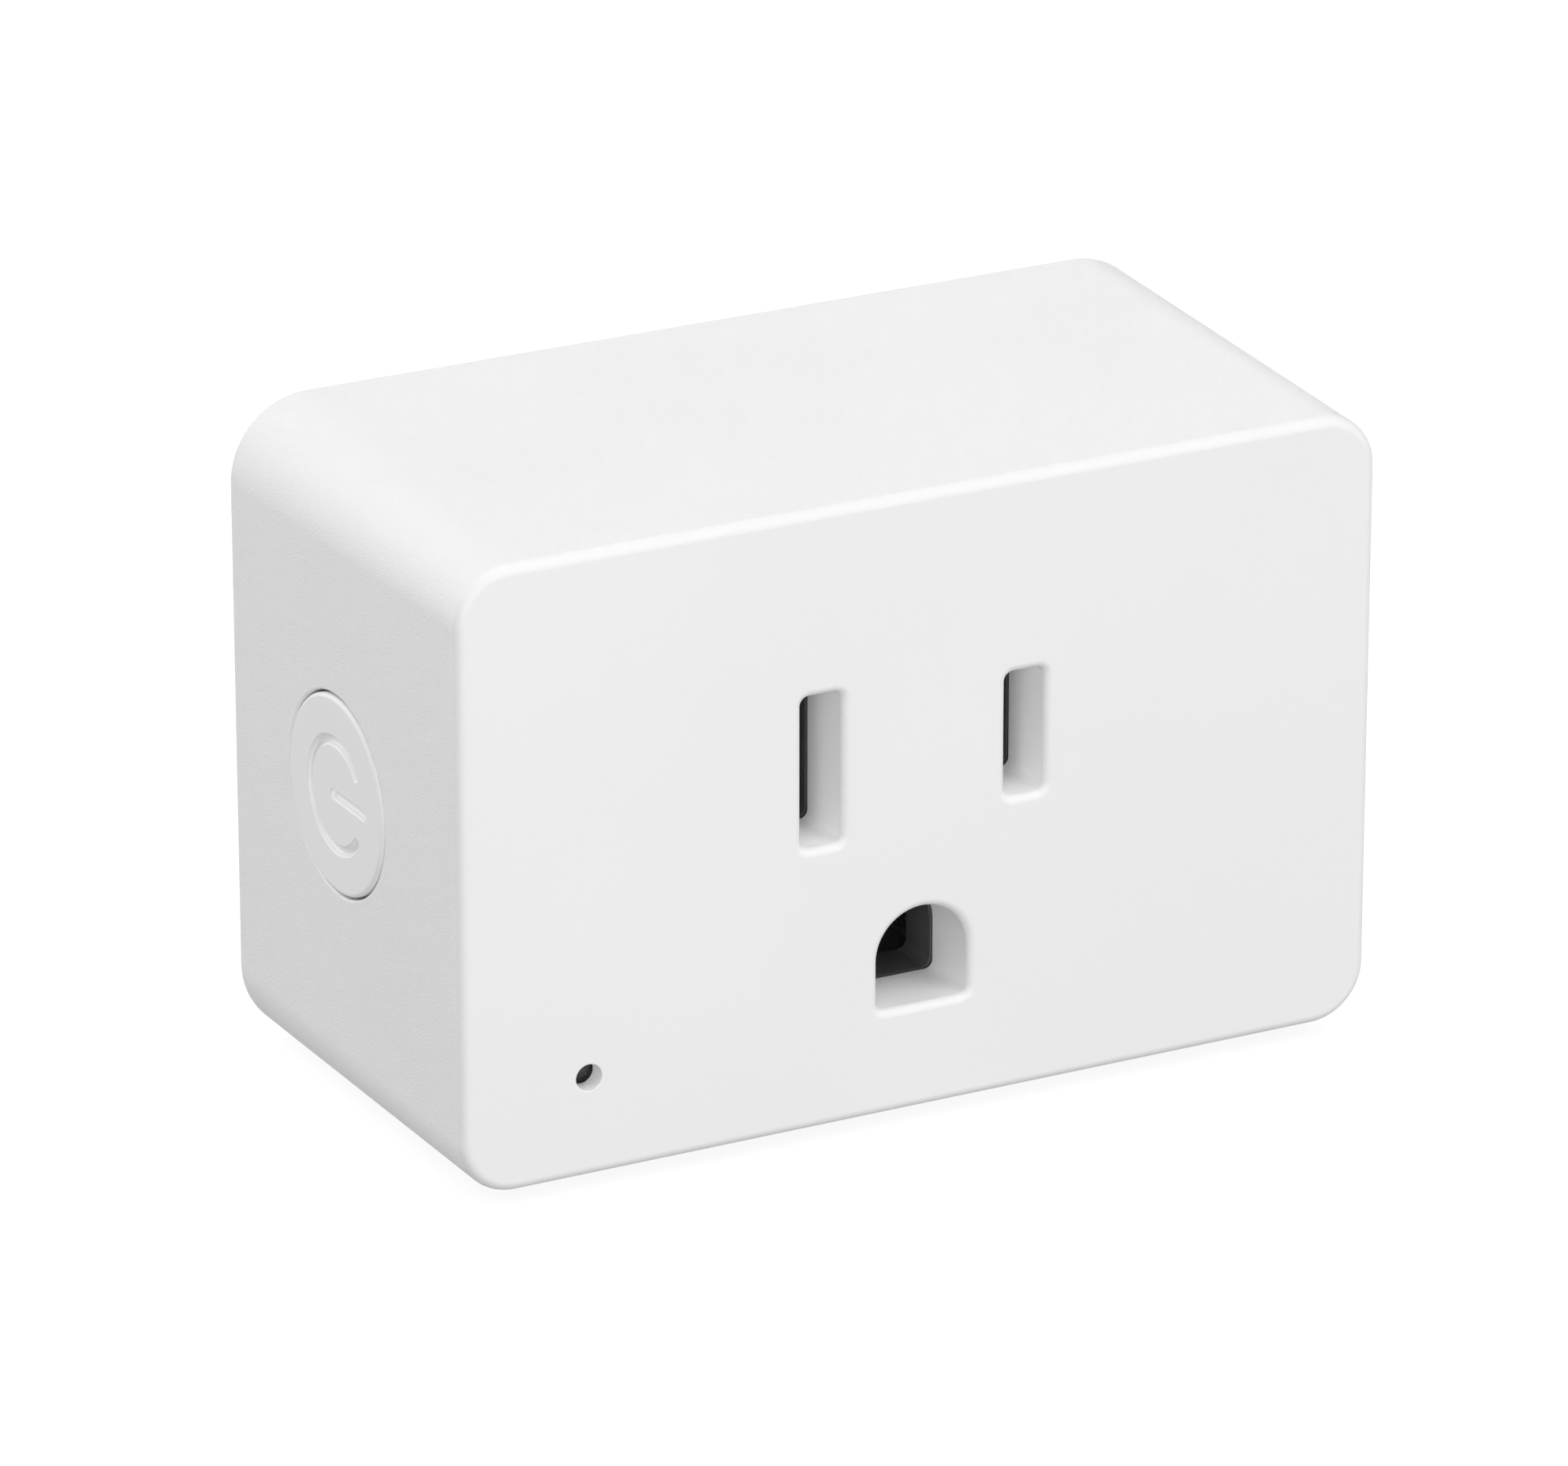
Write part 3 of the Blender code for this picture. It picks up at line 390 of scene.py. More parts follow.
class Paint:
    """A new material with its shader, and short calls for the nodes that feed it."""

    def __init__(self, name, roughness=0.5, metallic=0.0, **sockets):
        self.material = bpy.data.materials.new(name)
        self.material.use_nodes = True
        self.tree = self.material.node_tree
        self.shader = self.tree.nodes["Principled BSDF"]
        self.set("Roughness", roughness)
        self.set("Metallic", metallic)
        for socket, value in sockets.items():
            self.set(socket.replace("_", " "), value)
        self.place = self.tree.nodes.new("ShaderNodeTexCoord").outputs["Object"]

    def set(self, socket, value):
        self.shader.inputs[socket].default_value = value

    def join(self, source, target):
        self.tree.links.new(source, target)

    def noise(self, scale, detail=2.0, roughness=0.5, stretch=None):
        node = self.tree.nodes.new("ShaderNodeTexNoise")
        node.inputs["Scale"].default_value = scale
        node.inputs["Detail"].default_value = detail
        node.inputs["Roughness"].default_value = roughness
        source = self.place
        if stretch is not None:
            mapping = self.tree.nodes.new("ShaderNodeMapping")
            mapping.inputs["Scale"].default_value = stretch
            self.join(source, mapping.inputs["Vector"])
            source = mapping.outputs["Vector"]
        self.join(source, node.inputs["Vector"])
        return node.outputs["Fac"]

    def cell_edges(self, scale):
        node = self.tree.nodes.new("ShaderNodeTexVoronoi")
        node.feature = "DISTANCE_TO_EDGE"
        node.inputs["Scale"].default_value = scale
        self.join(self.place, node.inputs["Vector"])
        return node.outputs["Distance"]

    def bands(self, scale, direction="Y", distortion=0.0):
        node = self.tree.nodes.new("ShaderNodeTexWave")
        node.bands_direction = direction
        node.inputs["Scale"].default_value = scale
        node.inputs["Distortion"].default_value = distortion
        self.join(self.place, node.inputs["Vector"])
        return node.outputs["Fac"]

    def ramp(self, fac, low, high, first, second):
        """A value or colour that goes from first to second as fac goes from low to high."""
        node = self.tree.nodes.new("ShaderNodeValToRGB")
        node.color_ramp.elements[0].position = low
        node.color_ramp.elements[1].position = high
        node.color_ramp.elements[0].color = first
        node.color_ramp.elements[1].color = second
        self.join(fac, node.inputs["Fac"])
        return node.outputs["Color"]

    def color(self, fac, first, second, low=0.3, high=0.7):
        colors = [(*color, 1.0) for color in (first, second)]
        self.join(self.ramp(fac, low, high, *colors), self.shader.inputs["Base Color"])

    def rough(self, fac, first, second):
        greys = [(value, value, value, 1.0) for value in (first, second)]
        self.join(self.ramp(fac, 0.3, 0.7, *greys), self.shader.inputs["Roughness"])

    def bump(self, fac, strength, distance):
        node = self.tree.nodes.new("ShaderNodeBump")
        node.inputs["Strength"].default_value = strength
        node.inputs["Distance"].default_value = distance * MM
        self.join(fac, node.inputs["Height"])
        if self.shader.inputs["Normal"].is_linked:
            before = self.shader.inputs["Normal"].links[0].from_socket
            self.join(before, node.inputs["Normal"])
        self.join(node.outputs["Normal"], self.shader.inputs["Normal"])


def around(color, spread):
    """Two colours a little darker and a little lighter than color."""
    return [tuple(min(1.0, part * (1 + sign * spread)) for part in color) for sign in (-1, 1)]


def moulded(name, color, roughness, grain, grain_size, depth):
    """Moulded plastic: a spark-eroded grain that varies the gloss too, and a slow change of shade."""
    paint = Paint(name, roughness, IOR=1.5)
    slow = paint.noise(60.0, 3.0)
    paint.color(slow, *around(color, 0.008))
    fine = paint.noise(1.0 / (grain_size * MM), 3.0, 0.6)
    paint.rough(fine, roughness - 0.06, roughness + 0.06)
    paint.bump(fine, grain, depth)
    return paint.material


def finer_face(material, grain, face_grain):
    """Fades the grain on the outlet face, which is polished finer than the sides."""
    tree = material.node_tree
    split = tree.nodes.new("ShaderNodeSeparateXYZ")
    tree.links.new(tree.nodes["Texture Coordinate"].outputs["Object"], split.inputs["Vector"])
    fade = tree.nodes.new("ShaderNodeMapRange")
    fade.inputs["From Min"].default_value = (HOUSING_LOW.y + FACE_POLISH) * MM
    fade.inputs["From Max"].default_value = (HOUSING_LOW.y + FACE_EDGE) * MM
    fade.inputs["To Min"].default_value = face_grain
    fade.inputs["To Max"].default_value = grain
    tree.links.new(split.outputs["Y"], fade.inputs["Value"])
    tree.links.new(fade.outputs["Result"], tree.nodes["Bump"].inputs["Strength"])


def plated(name, color, roughness):
    """Rolled or plated metal with fine streaks along Y, and small pits."""
    paint = Paint(name, roughness, 1.0)
    streaks = paint.noise(4000.0, 3.0, 0.6, (1.0, 0.05, 1.0))
    paint.color(paint.noise(300.0, 4.0), *around(color, 0.06))
    paint.rough(streaks, roughness * 0.75, roughness * 1.35)
    paint.bump(streaks, 0.25, 0.01)
    paint.bump(paint.noise(900.0, 2.0), 0.15, 0.02)
    return paint.material


def circuit_board(name, mask, copper, pitch):
    """Solder mask over copper tracks, with a faint glass weave."""
    paint = Paint(name, 0.35, Coat_Weight=0.3, Coat_Roughness=0.15)
    tracks = paint.cell_edges(1.0 / (pitch * MM))
    paint.color(tracks, copper, mask, 0.05, 0.12)
    paint.bump(paint.ramp(tracks, 0.05, 0.12, (1, 1, 1, 1), (0, 0, 0, 1)), 0.4, 0.035)
    paint.bump(paint.bands(900.0, "Z", 0.5), 0.1, 0.01)
    return paint.material


def wound_wire(name, color, pitch):
    """Enamelled wire in close turns along Y, with painted shade in the grooves between the turns."""
    paint = Paint(name, 0.3, 0.7, Coat_Weight=0.6, Coat_Roughness=0.1)
    turns_and_groove_shade = paint.bands(1.0 / (pitch * MM) * math.pi / 10, "Y", 0.4)
    # Painted shade: the colour falls to about a third in the grooves between the turns
    paint.color(turns_and_groove_shade, tuple(part * 0.35 for part in color), color, 0.1, 0.6)
    paint.bump(turns_and_groove_shade, 0.9, pitch * 0.4)
    return paint.material


def dipped(name, color, roughness, lumps=250.0):
    """A dipped or shrunk coat: glossy, with slight lumps."""
    paint = Paint(name, roughness, Coat_Weight=0.4, Coat_Roughness=0.12)
    paint.color(paint.noise(150.0, 3.0), *around(color, 0.1))
    paint.bump(paint.noise(lumps, 3.0), 0.35, 0.08)
    paint.rough(paint.noise(1200.0, 2.0), roughness * 0.85, roughness * 1.2)
    return paint.material


def clear_pipe(name):
    """Polycarbonate light pipe, slightly frosted, seen against the dark inside."""
    paint = Paint(name, 0.2, IOR=1.58, Transmission_Weight=0.85)
    paint.color(paint.noise(400.0), (0.2, 0.2, 0.21), (0.28, 0.28, 0.3))
    paint.rough(paint.noise(2500.0, 3.0), 0.12, 0.3)
    return paint.material


WHITE = (0.90, 0.90, 0.90)
SIDE_GRAIN, FACE_GRAIN = 0.8, 0.12
SHELL_WHITE = moulded("shell_white", WHITE, 0.52, SIDE_GRAIN, 0.11, 0.07)
finer_face(SHELL_WHITE, SIDE_GRAIN, FACE_GRAIN)
# The openings' walls: the shell's plastic painted lighter, painted light that stands in for the light
# coming through the translucent plastic
SOCKET_PAINTED_LIGHT = moulded("socket_painted_light", (0.97, 0.97, 0.97), 0.45, 0.10, 0.16, 0.02)
BUTTON_WHITE = moulded("button_white", (0.88, 0.88, 0.88), 0.45, 0.10, 0.20, 0.02)
CARRIER_NYLON = moulded("carrier_nylon", (0.085, 0.085, 0.088), 0.6, 0.4, 0.2, 0.04)
BLACK_RESIN = moulded("black_resin", (0.018, 0.018, 0.019), 0.5, 0.4, 0.12, 0.03)
RELAY_RESIN = moulded("relay_resin", (0.02, 0.021, 0.024), 0.38, 0.2, 0.3, 0.03)
BOBBIN_NYLON = moulded("bobbin_nylon", (0.66, 0.62, 0.52), 0.5, 0.3, 0.25, 0.03)
FERRITE_BLACK = moulded("ferrite_black", (0.05, 0.05, 0.053), 0.65, 0.6, 0.15, 0.05)
LED_EPOXY = moulded("led_epoxy", (0.82, 0.80, 0.62), 0.3, 0.1, 0.3, 0.02)
NICKEL = plated("nickel_plate", (0.66, 0.64, 0.60), 0.24)
BRONZE = plated("phosphor_bronze", (0.55, 0.33, 0.19), 0.32)
ZINC = plated("zinc_plate", (0.50, 0.50, 0.51), 0.34)
IRON = plated("soft_iron_plate", (0.42, 0.42, 0.42), 0.42)
SILVER = plated("silver_alloy", (0.82, 0.81, 0.78), 0.22)
TIN = plated("tin_plate", (0.62, 0.63, 0.64), 0.32)
GREEN_BOARD = circuit_board("green_mask", (0.008, 0.11, 0.04), (0.03, 0.20, 0.08), 2.6)
BLUE_BOARD = circuit_board("blue_mask", (0.006, 0.03, 0.14), (0.02, 0.08, 0.26), 1.9)
COIL_COPPER = wound_wire("coil_copper", (0.50, 0.16, 0.06), 0.16)
SLEEVE = dipped("capacitor_sleeve", (0.02, 0.028, 0.06), 0.28, 120.0)
YELLOW_CASE = dipped("yellow_case", (0.72, 0.50, 0.05), 0.35, 180.0)
BLUE_DIP = dipped("blue_dip", (0.02, 0.09, 0.36), 0.3)
RESISTOR_COAT = dipped("resistor_coat", (0.24, 0.36, 0.30), 0.45)
CLEAR_PIPE = clear_pipe("clear_pipe")

# What each CAD slot looks like here, for the nodes that keep their CAD shape
SLOT_PAINT = {
    "carrier_plastic": CARRIER_NYLON,
    "clear_plastic": CLEAR_PIPE,
    "led_body": LED_EPOXY,
    "nickel_brass": NICKEL,
    "copper_alloy": BRONZE,
    "screw_steel": ZINC,
    "soft_iron": IRON,
    "silver_contact": SILVER,
    "tinned_shield": TIN,
    "green_board": GREEN_BOARD,
    "blue_board": BLUE_BOARD,
    "relay_plastic": RELAY_RESIN,
    "bobbin_plastic": BOBBIN_NYLON,
    "coil_wire": COIL_COPPER,
    "black_plastic": BLACK_RESIN,
    "capacitor_sleeve": SLEEVE,
    "yellow_epoxy": YELLOW_CASE,
    "blue_epoxy": BLUE_DIP,
    "resistor_coat": RESISTOR_COAT,
    "ferrite": FERRITE_BLACK,
    "white_shell": SHELL_WHITE,
    "white_button": BUTTON_WHITE,
}

# Rounded edges for the nodes that keep their CAD shape: the width of each kind's edge
EDGE_WIDTH = {
    "contact_carrier": 0.15,
    "relay_case": 0.25,
    "relay_base": 0.15,
    "relay_bobbin": 0.12,
    "suppression_capacitor": 0.3,
    "surge_varistor": 0.4,
    "mains_capacitor": 0.15,
    "output_capacitor": 0.15,
    "fuse_resistor": 0.2,
    "wifi_shield_can": 0.12,
    "board_connector": 0.12,
}
FINE_EDGE = 0.05


def paint_cad_nodes():
    """Every CAD node gets its slot's material, and finely rounded edges."""
    for entry in frame["record"]["subparts"]:
        name = entry["node"]
        node = frame["nodes"][name]
        node.data.materials.clear()
        node.data.materials.append(SLOT_PAINT[entry["material_slot"]])
        weld = node.modifiers.new("weld", "WELD")
        weld.merge_threshold = 0.001 * MM
        round_edges(node, "edge", EDGE_WIDTH.get(name, FINE_EDGE), 3, 50)
        weigh_normals(node)


# ---------------------------------------------------------------- housing


def opening(name, outline, x, z, lip, depth):
    """A cutter for an opening in the outlet face. outline takes how much wider the opening is.

    The lip is cut in the shell's own white. The walls below it are a lighter white, painted light
    that stands in for light coming through the translucent plastic.
    """
    face = HOUSING_LOW.y
    rings = [at_depth(shifted(outline(lip), x, z), face - BEYOND)]
    for wide, deep in lip_curve(lip, 8):
        rings.append(at_depth(shifted(outline(wide), x, z), face + deep))
    rings.append(at_depth(shifted(outline(0.0), x, z), face + depth))
    made = loft(name, SHELL_WHITE, rings)
    made.data.materials.append(SOCKET_PAINTED_LIGHT)
    # Walls below the lip take the lighter white of painted light
    for wall in made.data.polygons:
        wall.material_index = int(wall.center.y > (face + lip) * MM)
    return made


def slot_outline(size):
    width, height = size

    def outline(lip):
        return rounded_rectangle(width + 2 * lip, height + 2 * lip, SLOT_CORNER + lip, 8)

    return outline


def ground_outline(lip):
    return arch(GROUND_HOLE_RADIUS + lip, GROUND_HOLE_FLOOR + lip, SLOT_CORNER + lip)


def led_outline(lip):
    return circle(LED_RADIUS + lip, 48)


def on_side(outline, x, tilt):
    """An outline round the button's axis. tilt 1 follows the side's draft, and 0 is upright."""
    return [(x - tilt * SIDE_SLOPE * y, BUTTON_Y + y, BUTTON_Z + z) for y, z in outline]


def button_ring(radius, x, tilt):
    return on_side(circle(radius, BUTTON_SIDES), x, tilt)


def button_hole_cutter():
    """A round hole through the left side, with a small rounded lip that follows the draft."""
    wall, radius = side_x(BUTTON_Y), BUTTON_HOLE_RADIUS
    rings = [button_ring(radius + BUTTON_HOLE_LIP, wall - BEYOND, 1)]
    for wide, deep in lip_curve(BUTTON_HOLE_LIP, 5):
        rings.append(button_ring(radius + wide, wall + deep, 1))
    rings.append(button_ring(radius, wall + SHELL + 1.2, 0))
    return loft("cut_button", None, rings)


def front_housing():
    """The shell, open at the rear, with its socket block, light tube and openings."""
    face = HOUSING_LOW.y
    rear = HOUSING_HIGH.y
    shelf = rear - COVER_THICKNESS - SEAM
    rings = [
        body_section(face + FACE_THICKNESS, SHELL),
        body_section(shelf, SHELF),
        body_section(shelf, RIM),
        body_section(rear, RIM),
    ]
    rings += [body_section(rear - deep, inset) for inset, deep in reversed(fillet(REAR_EDGE, 5))]
    rings += [body_section(face + deep, inset) for inset, deep in fillet(FACE_EDGE, 12)]
    housing = loft("housing_shell", SHELL_WHITE, rings)
    inner = face + FACE_THICKNESS - OVERLAP
    socket = block(
        "socket_block",
        (CARRIER_LOW.x, inner, CARRIER_LOW.z),
        (CARRIER_HIGH.x, face + SOCKET_DEPTH, CARRIER_HIGH.z),
    )
    combine(housing, socket, "UNION")
    outer, bore, tube_depth = LIGHT_TUBE
    tube = rod("led_tube", outer, (LED_X, inner, LED_Z), (LED_X, face + tube_depth, LED_Z))
    combine(housing, tube, "UNION")
    deep = SOCKET_DEPTH + BEYOND
    bore_front, bore_rear = face + LED_HOLE_DEPTH, face + tube_depth + BEYOND
    cutters = (
        opening("cut_neutral", slot_outline(NEUTRAL_SLOT), NEUTRAL_X, BLADE_Z, SLOT_LIP, deep),
        opening("cut_hot", slot_outline(HOT_SLOT), HOT_X, BLADE_Z, SLOT_LIP, deep),
        opening("cut_ground", ground_outline, 0.0, GROUND_HOLE_Z, SLOT_LIP, deep),
        opening("cut_led", led_outline, LED_X, LED_Z, LED_LIP, LED_CUT_DEPTH),
        rod("cut_pipe", bore, (LED_X, bore_front, LED_Z), (LED_X, bore_rear, LED_Z)),
        button_hole_cutter(),
    )
    for cutter in cutters:
        combine(housing, cutter)
    even_normals(housing)
    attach(housing, BODY["root"])
    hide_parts("front_housing")


# ---------------------------------------------------------------- button


def symbol_cutter(name, path):
    """A groove with rounded lips and a rounded bottom, cut into the button's sloping face."""
    face = side_x(BUTTON_Y) - BUTTON_PROUD
    lip, width, steps = SYMBOL_LIP, SYMBOL_WIDTH, 4
    levels = [(width + 2 * lip, -0.5)]
    levels += [(width + 2 * wide, deep) for wide, deep in lip_curve(lip, steps)]
    bottom = SYMBOL_DEPTH - lip
    for step in range(1, steps + 1):
        angle = math.radians(90 * step / steps)
        levels.append((width - 2 * bottom * (1 - math.cos(angle)), lip + bottom * math.sin(angle)))
    rings = [on_side(stroke(path, wide), face + depth, 1) for wide, depth in levels]
    return loft(name, None, rings)


def power_button():
    """A round cap with a power symbol, a square flange that holds it in, and a stem."""
    face = side_x(BUTTON_Y) - BUTTON_PROUD
    rings = [
        button_ring(BUTTON_RADIUS - inset, face + deep, 1)
        for inset, deep in reversed(fillet(BUTTON_EDGE, 10))
    ]
    rings.append(button_ring(BUTTON_RADIUS, FLANGE_FRONT + OVERLAP, 0))
    cap = loft("button_cap", BUTTON_WHITE, rings)
    half_y = (BUTTON_HIGH.y - BUTTON_LOW.y) / 2
    half_z = (BUTTON_HIGH.z - BUTTON_LOW.z) / 2
    flange = block(
        "flange",
        (FLANGE_FRONT, BUTTON_Y - half_y, BUTTON_Z - half_z),
        (STEM_START, BUTTON_Y + half_y, BUTTON_Z + half_z),
    )
    combine(cap, flange, "UNION")
    start = (STEM_START - OVERLAP, BUTTON_Y, BUTTON_Z)
    stem = rod("stem", STEM_RADIUS, start, (BUTTON_HIGH.x, BUTTON_Y, BUTTON_Z))
    combine(cap, stem, "UNION")
    ring_path = arc((0, 0), SYMBOL_RADIUS, 180 + SYMBOL_OPENING, 540 - SYMBOL_OPENING, 64)
    bar_path = [(end, 0.0) for end in SYMBOL_BAR]
    combine(cap, symbol_cutter("cut_ring", ring_path))
    combine(cap, symbol_cutter("cut_bar", bar_path))
    even_normals(cap)
    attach(cap, BODY["button"])
    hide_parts("power_button")


# ---------------------------------------------------------------- rear: cover, screws, prongs


def screw_places():
    """Each screw's number, x and z."""
    for index in range(1, 5):
        x, _, z = centre_mm(f"cover_screw_{index}")
        yield index, x, z


def rear_cover():
    """The plate inside the shell's rim, with holes for the prongs and sunk screws."""
    rear, gap = COVER_HIGH.y, COVER_CLEARANCE
    inset = RIM + SEAM
    rings = [body_section(COVER_LOW.y, inset)]
    rings += [body_section(rear - deep, inset + wide) for wide, deep in fillet(COVER_EDGE, 5)]
    cover = loft("cover_plate", SHELL_WHITE, rings)
    thick, tall = BLADE_THICKNESS / 2 + gap, BLADE_HEIGHT / 2 + gap
    cutters = []
    for name, x in (("neutral", NEUTRAL_X), ("hot", HOT_X)):
        outline = rounded_rectangle(2 * thick, 2 * tall, 0.3, 6)
        rings = [at_depth(shifted(outline, x, BLADE_Z), y) for y in (rear - 5.0, rear + 1.0)]
        cutters.append(loft(f"cut_{name}_blade", None, rings))
    cutters.append(rod("cut_pin", PIN_RADIUS + gap, (0, -5, GROUND_Z), (0, 1, GROUND_Z), 96))
    sunk, head_radius = rear - SCREW_RECESS, SCREW_HEAD_RADIUS + 0.3
    for index, x, z in screw_places():
        cutters.append(rod(f"cut_screw_{index}", SCREW_RADIUS + gap, (x, -5, z), (x, 1, z)))
        cutters.append(rod(f"cut_head_{index}", head_radius, (x, sunk, z), (x, 1, z)))
    for cutter in cutters:
        combine(cover, cutter)
    even_normals(cover)
    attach(cover, BODY["root"])
    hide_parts("rear_cover")


def screw_profile(head, seat, tip):
    """(radius, y) pairs of a crowned head, a shank with ridges for its thread, and a point."""
    profile = [(AXIS, head)]
    for degrees in range(15, 90, 15):
        angle = math.radians(degrees)
        drop = SCREW_CROWN * (1 - math.cos(angle))
        profile.append((SCREW_HEAD_RADIUS * math.sin(angle), head - drop))
    profile += [(SCREW_HEAD_RADIUS, head - SCREW_CROWN), (SCREW_HEAD_RADIUS, seat + 0.05)]
    profile += [(SCREW_HEAD_RADIUS - 0.1, seat), (SCREW_RADIUS, seat)]
    for turn in range(int((seat - tip - 1.5) / SCREW_PITCH)):
        top = seat - 0.4 - turn * SCREW_PITCH
        profile += [(SCREW_RADIUS - THREAD_DEPTH, top), (SCREW_RADIUS, top - SCREW_PITCH / 2)]
    return profile + [(SCREW_RADIUS - THREAD_DEPTH, tip + SCREW_POINT), (AXIS, tip)]


def cover_screws():
    """Four screws, each with a three-winged recess in its head."""
    for index, x, z in screw_places():
        low, high = box_mm(f"cover_screw_{index}")
        head, tip = high.y, low.y
        profile = screw_profile(head, -SCREW_RECESS + 0.1, tip)
        screw = turned(f"screw_{index}", ZINC, profile, x, z, 40)
        for wing in range(3):
            turn = math.radians(120 * wing + 30)
            end = (WING_LENGTH * math.cos(turn), WING_LENGTH * math.sin(turn))
            outline = shifted(stroke([(0.0, 0.0), end], WING_WIDTH, 4), x, z)
            rings = [at_depth(outline, y) for y in (head - WING_DEPTH, head + 0.3)]
            combine(screw, loft("cut_wing", None, rings))
        smooth(screw, 40.0)
        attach(screw, BODY["root"])
        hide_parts(f"cover_screw_{index}")


def blade_outline(tail_end):
    """Half the blade from the side, as (distance from its centre line, distance out)."""
    half, corner = BLADE_HEIGHT / 2, BLADE_CORNER
    right = [(BLADE_NECK, tail_end), (BLADE_NECK, SHOULDER_REAR)]
    right += [(BLADE_SHOULDER, SHOULDER_REAR), (BLADE_SHOULDER, SHOULDER_FRONT)]
    right.append((half, SHOULDER_FRONT))
    return right + arc((half - corner, BLADE_LENGTH - corner), corner, 0, 90, 12)


def blade(node, name, x):
    """A stamped blade: an upright outline with a coined edge and a punched hole."""
    right = blade_outline(box_mm(node)[0].y)
    outline = right + [(-across, out) for across, out in reversed(right)]
    half = BLADE_THICKNESS / 2
    shape = bmesh.new()
    corners = [shape.verts.new(Vector((x - half, out, BLADE_Z + up)) * MM) for up, out in outline]
    side = shape.faces.new(corners)
    grown = bmesh.ops.extrude_face_region(shape, geom=[side])["geom"]
    moved = [item for item in grown if isinstance(item, bmesh.types.BMVert)]
    bmesh.ops.translate(shape, vec=(2 * half * MM, 0, 0), verts=moved)
    bmesh.ops.recalc_face_normals(shape, faces=shape.faces)
    made = link(name, mesh_of(name, shape), NICKEL)
    radius, out = BLADE_HOLE
    combine(made, rod("cut_hole", radius, (x - 2, out, BLADE_Z), (x + 2, out, BLADE_Z), 64))
    round_edges(made, "coined_edge", BLADE_COIN, 4, 40)
    even_normals(made, 40.0)
    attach(made, BODY["root"])
    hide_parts(node)


def ground_pin():
    """A round pin with a domed tip, a flange inside the cover, and a tail."""
    tip, radius = PIN_LENGTH, PIN_RADIUS
    flange_radius, flange_front, flange_rear = PIN_FLANGE
    tail_radius, tail_end = PIN_TAIL
    profile = [(AXIS, tip)]
    profile += [(r, tip - radius + h) for r, h in reversed(arc((0, 0), radius, 0, 84, 14))]
    profile += [(radius, flange_front), (flange_radius, flange_front)]
    profile += [(flange_radius, flange_rear), (tail_radius, flange_rear)]
    profile += [(tail_radius, tail_end), (AXIS, tail_end)]
    pin = turned("ground_pin_fine", NICKEL, profile, 0.0, GROUND_Z, 72)
    smooth(pin, 50.0)
    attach(pin, BODY["root"])
    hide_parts("ground_pin")


# ---------------------------------------------------------------- light, floor and camera

FLOOR_Z = CAD_BOX[0][2]
LIGHT_DISTANCE = 0.9
FLOOR_SIZE = 8.0
FLOOR_DROP = 0.00002
WALL_RADIUS, WALL_HEIGHT, WALL_SUNK = 3.0, 4.0, 0.01
CAMERA_AZIMUTH, CAMERA_ELEVATION, CAMERA_DISTANCE = -27.22, 21.77, 0.5578
CAMERA_TARGET = Vector((0.0, HOUSING_LOW.y, 0.0)) * MM + Vector((-0.0063, 0.0048, 0.0036))
CAMERA_LENS = 231.4


def toward(azimuth, elevation):
    """A direction from the object. Azimuth 0 is in front of the outlet face."""
    turn, rise = math.radians(azimuth), math.radians(elevation)
    return Vector(
        (math.sin(turn) * math.cos(rise), -math.cos(turn) * math.cos(rise), math.sin(rise))
    )


def aim(item, target):
    direction = Vector(target) - item.location
    item.rotation_euler = direction.to_track_quat("-Z", "Y").to_euler()


def softbox(name, azimuth, elevation, size, power):
    """A soft light in this direction, aimed at the object."""
    light = bpy.data.lights.new(name, "AREA")
    light.shape = "RECTANGLE"
    light.size, light.size_y = size
    light.energy = power
    made = bpy.data.objects.new(name, light)
    bpy.context.scene.collection.objects.link(made)
    centre = (Vector(CAD_BOX[0]) + Vector(CAD_BOX[1])) / 2
    made.location = centre + toward(azimuth, elevation) * LIGHT_DISTANCE
    aim(made, centre)


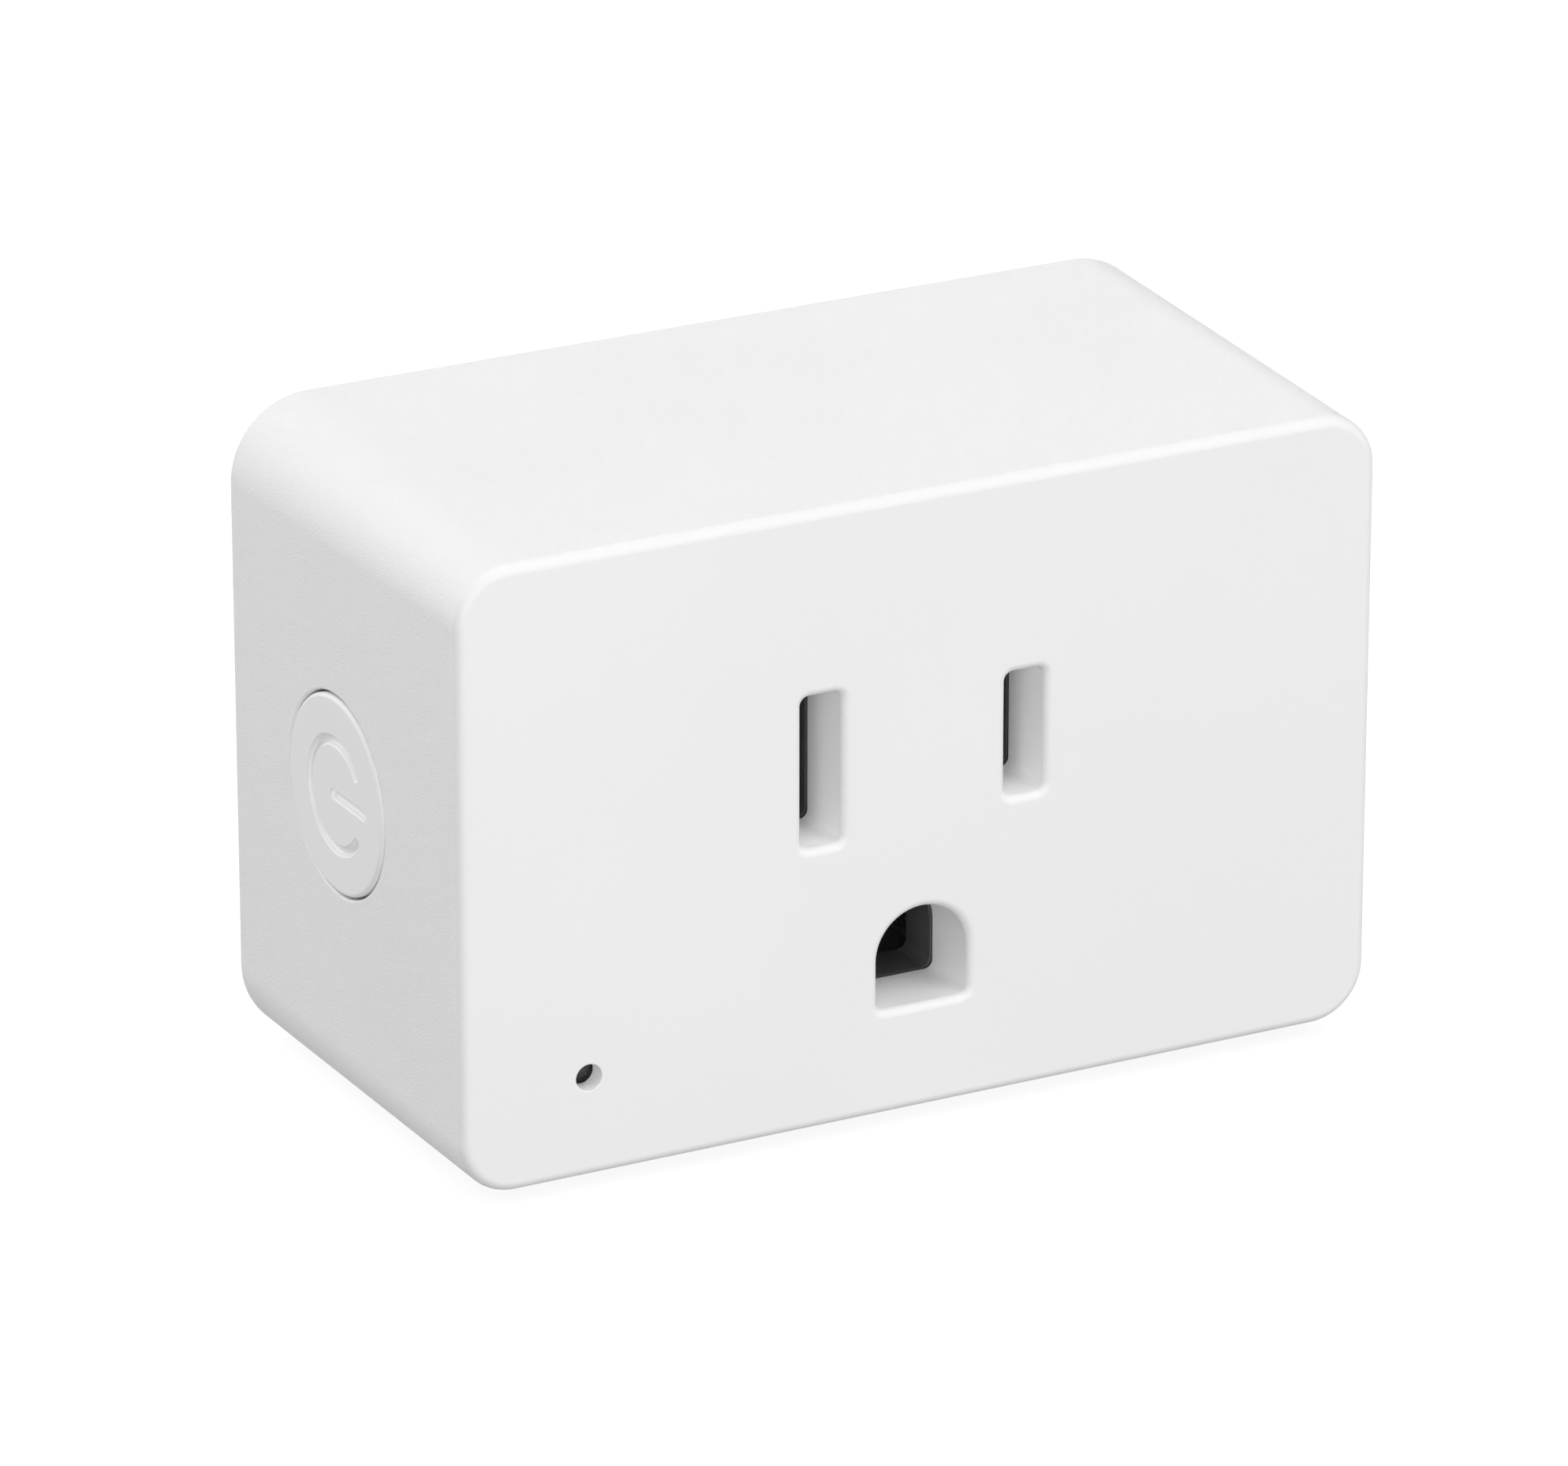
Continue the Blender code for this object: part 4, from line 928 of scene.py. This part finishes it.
def studio():
    """Large soft lights on all sides, and a white world that fills the shadows."""
    softbox("back_light", 147, 40, (0.5, 0.5), 1.46)
    softbox("front_light", 34, 40, (0.5, 0.5), 1.6)
    softbox("top_light", 0, 65, (0.6, 0.6), 1.63)
    softbox("left_light", -135, 45, (0.7, 0.6), 2.82)
    softbox("left_rear_fill", -150, 10, (0.6, 0.6), 2.36)
    softbox("left_fill", -30, 8, (0.5, 0.6), 4.41)
    softbox("right_fill", 45, 12, (0.6, 0.6), 1.8)
    world = bpy.data.worlds.new("studio")
    bpy.context.scene.world = world
    world.use_nodes = True
    background = world.node_tree.nodes["Background"]
    background.inputs["Color"].default_value = (1.0, 1.0, 1.0, 1.0)
    background.inputs["Strength"].default_value = 0.25
    bpy.context.scene.view_settings.view_transform = "Standard"


def floor():
    """Paper that glows a little, so that it is near white and only the contact shadow shows."""
    paint = Paint("floor_paper", 0.9)
    paint.color(paint.noise(30.0, 4.0), (0.24, 0.24, 0.24), (0.26, 0.26, 0.26))
    paint.bump(paint.noise(700.0, 3.0), 0.05, 0.05)
    paint.set("Emission Color", (1.0, 1.0, 1.0, 1.0))
    paint.set("Emission Strength", 0.83)
    shape = bmesh.new()
    bmesh.ops.create_grid(shape, x_segments=4, y_segments=4, size=FLOOR_SIZE)
    made = link("studio_floor", mesh_of("studio_floor", shape), paint.material)
    made.location = (0.0, 0.0, FLOOR_Z - FLOOR_DROP)
    made.visible_diffuse = False
    return paint.material


def backdrop(paper):
    """A pale wall all round, far off. Only the camera sees it, so it adds no light."""
    shape = bmesh.new()
    bmesh.ops.create_cone(
        shape,
        cap_ends=False,
        segments=96,
        radius1=WALL_RADIUS,
        radius2=WALL_RADIUS,
        depth=WALL_HEIGHT,
    )
    made = link("studio_wall", mesh_of("studio_wall", shape), paper)
    made.location = (0.0, 0.0, FLOOR_Z + WALL_HEIGHT / 2 - WALL_SUNK)
    made.visible_diffuse = False
    made.visible_glossy = False
    made.visible_transmission = False
    made.visible_shadow = False


def camera():
    """A long lens above and to the left of the outlet face, aimed near its centre."""
    lens = bpy.data.cameras.new("photo_camera")
    lens.lens = CAMERA_LENS
    lens.sensor_width = 36.0
    lens.clip_start = 0.01
    made = bpy.data.objects.new("photo_camera", lens)
    bpy.context.scene.collection.objects.link(made)
    made.location = CAMERA_TARGET + toward(CAMERA_AZIMUTH, CAMERA_ELEVATION) * CAMERA_DISTANCE
    aim(made, CAMERA_TARGET)
    bpy.context.scene.camera = made


# ---------------------------------------------------------------- the scene

paint_cad_nodes()
front_housing()
power_button()
rear_cover()
cover_screws()
blade("hot_blade", "hot_blade_fine", HOT_X)
blade("neutral_blade", "neutral_blade_fine", NEUTRAL_X)
ground_pin()
studio()
backdrop(floor())
camera()
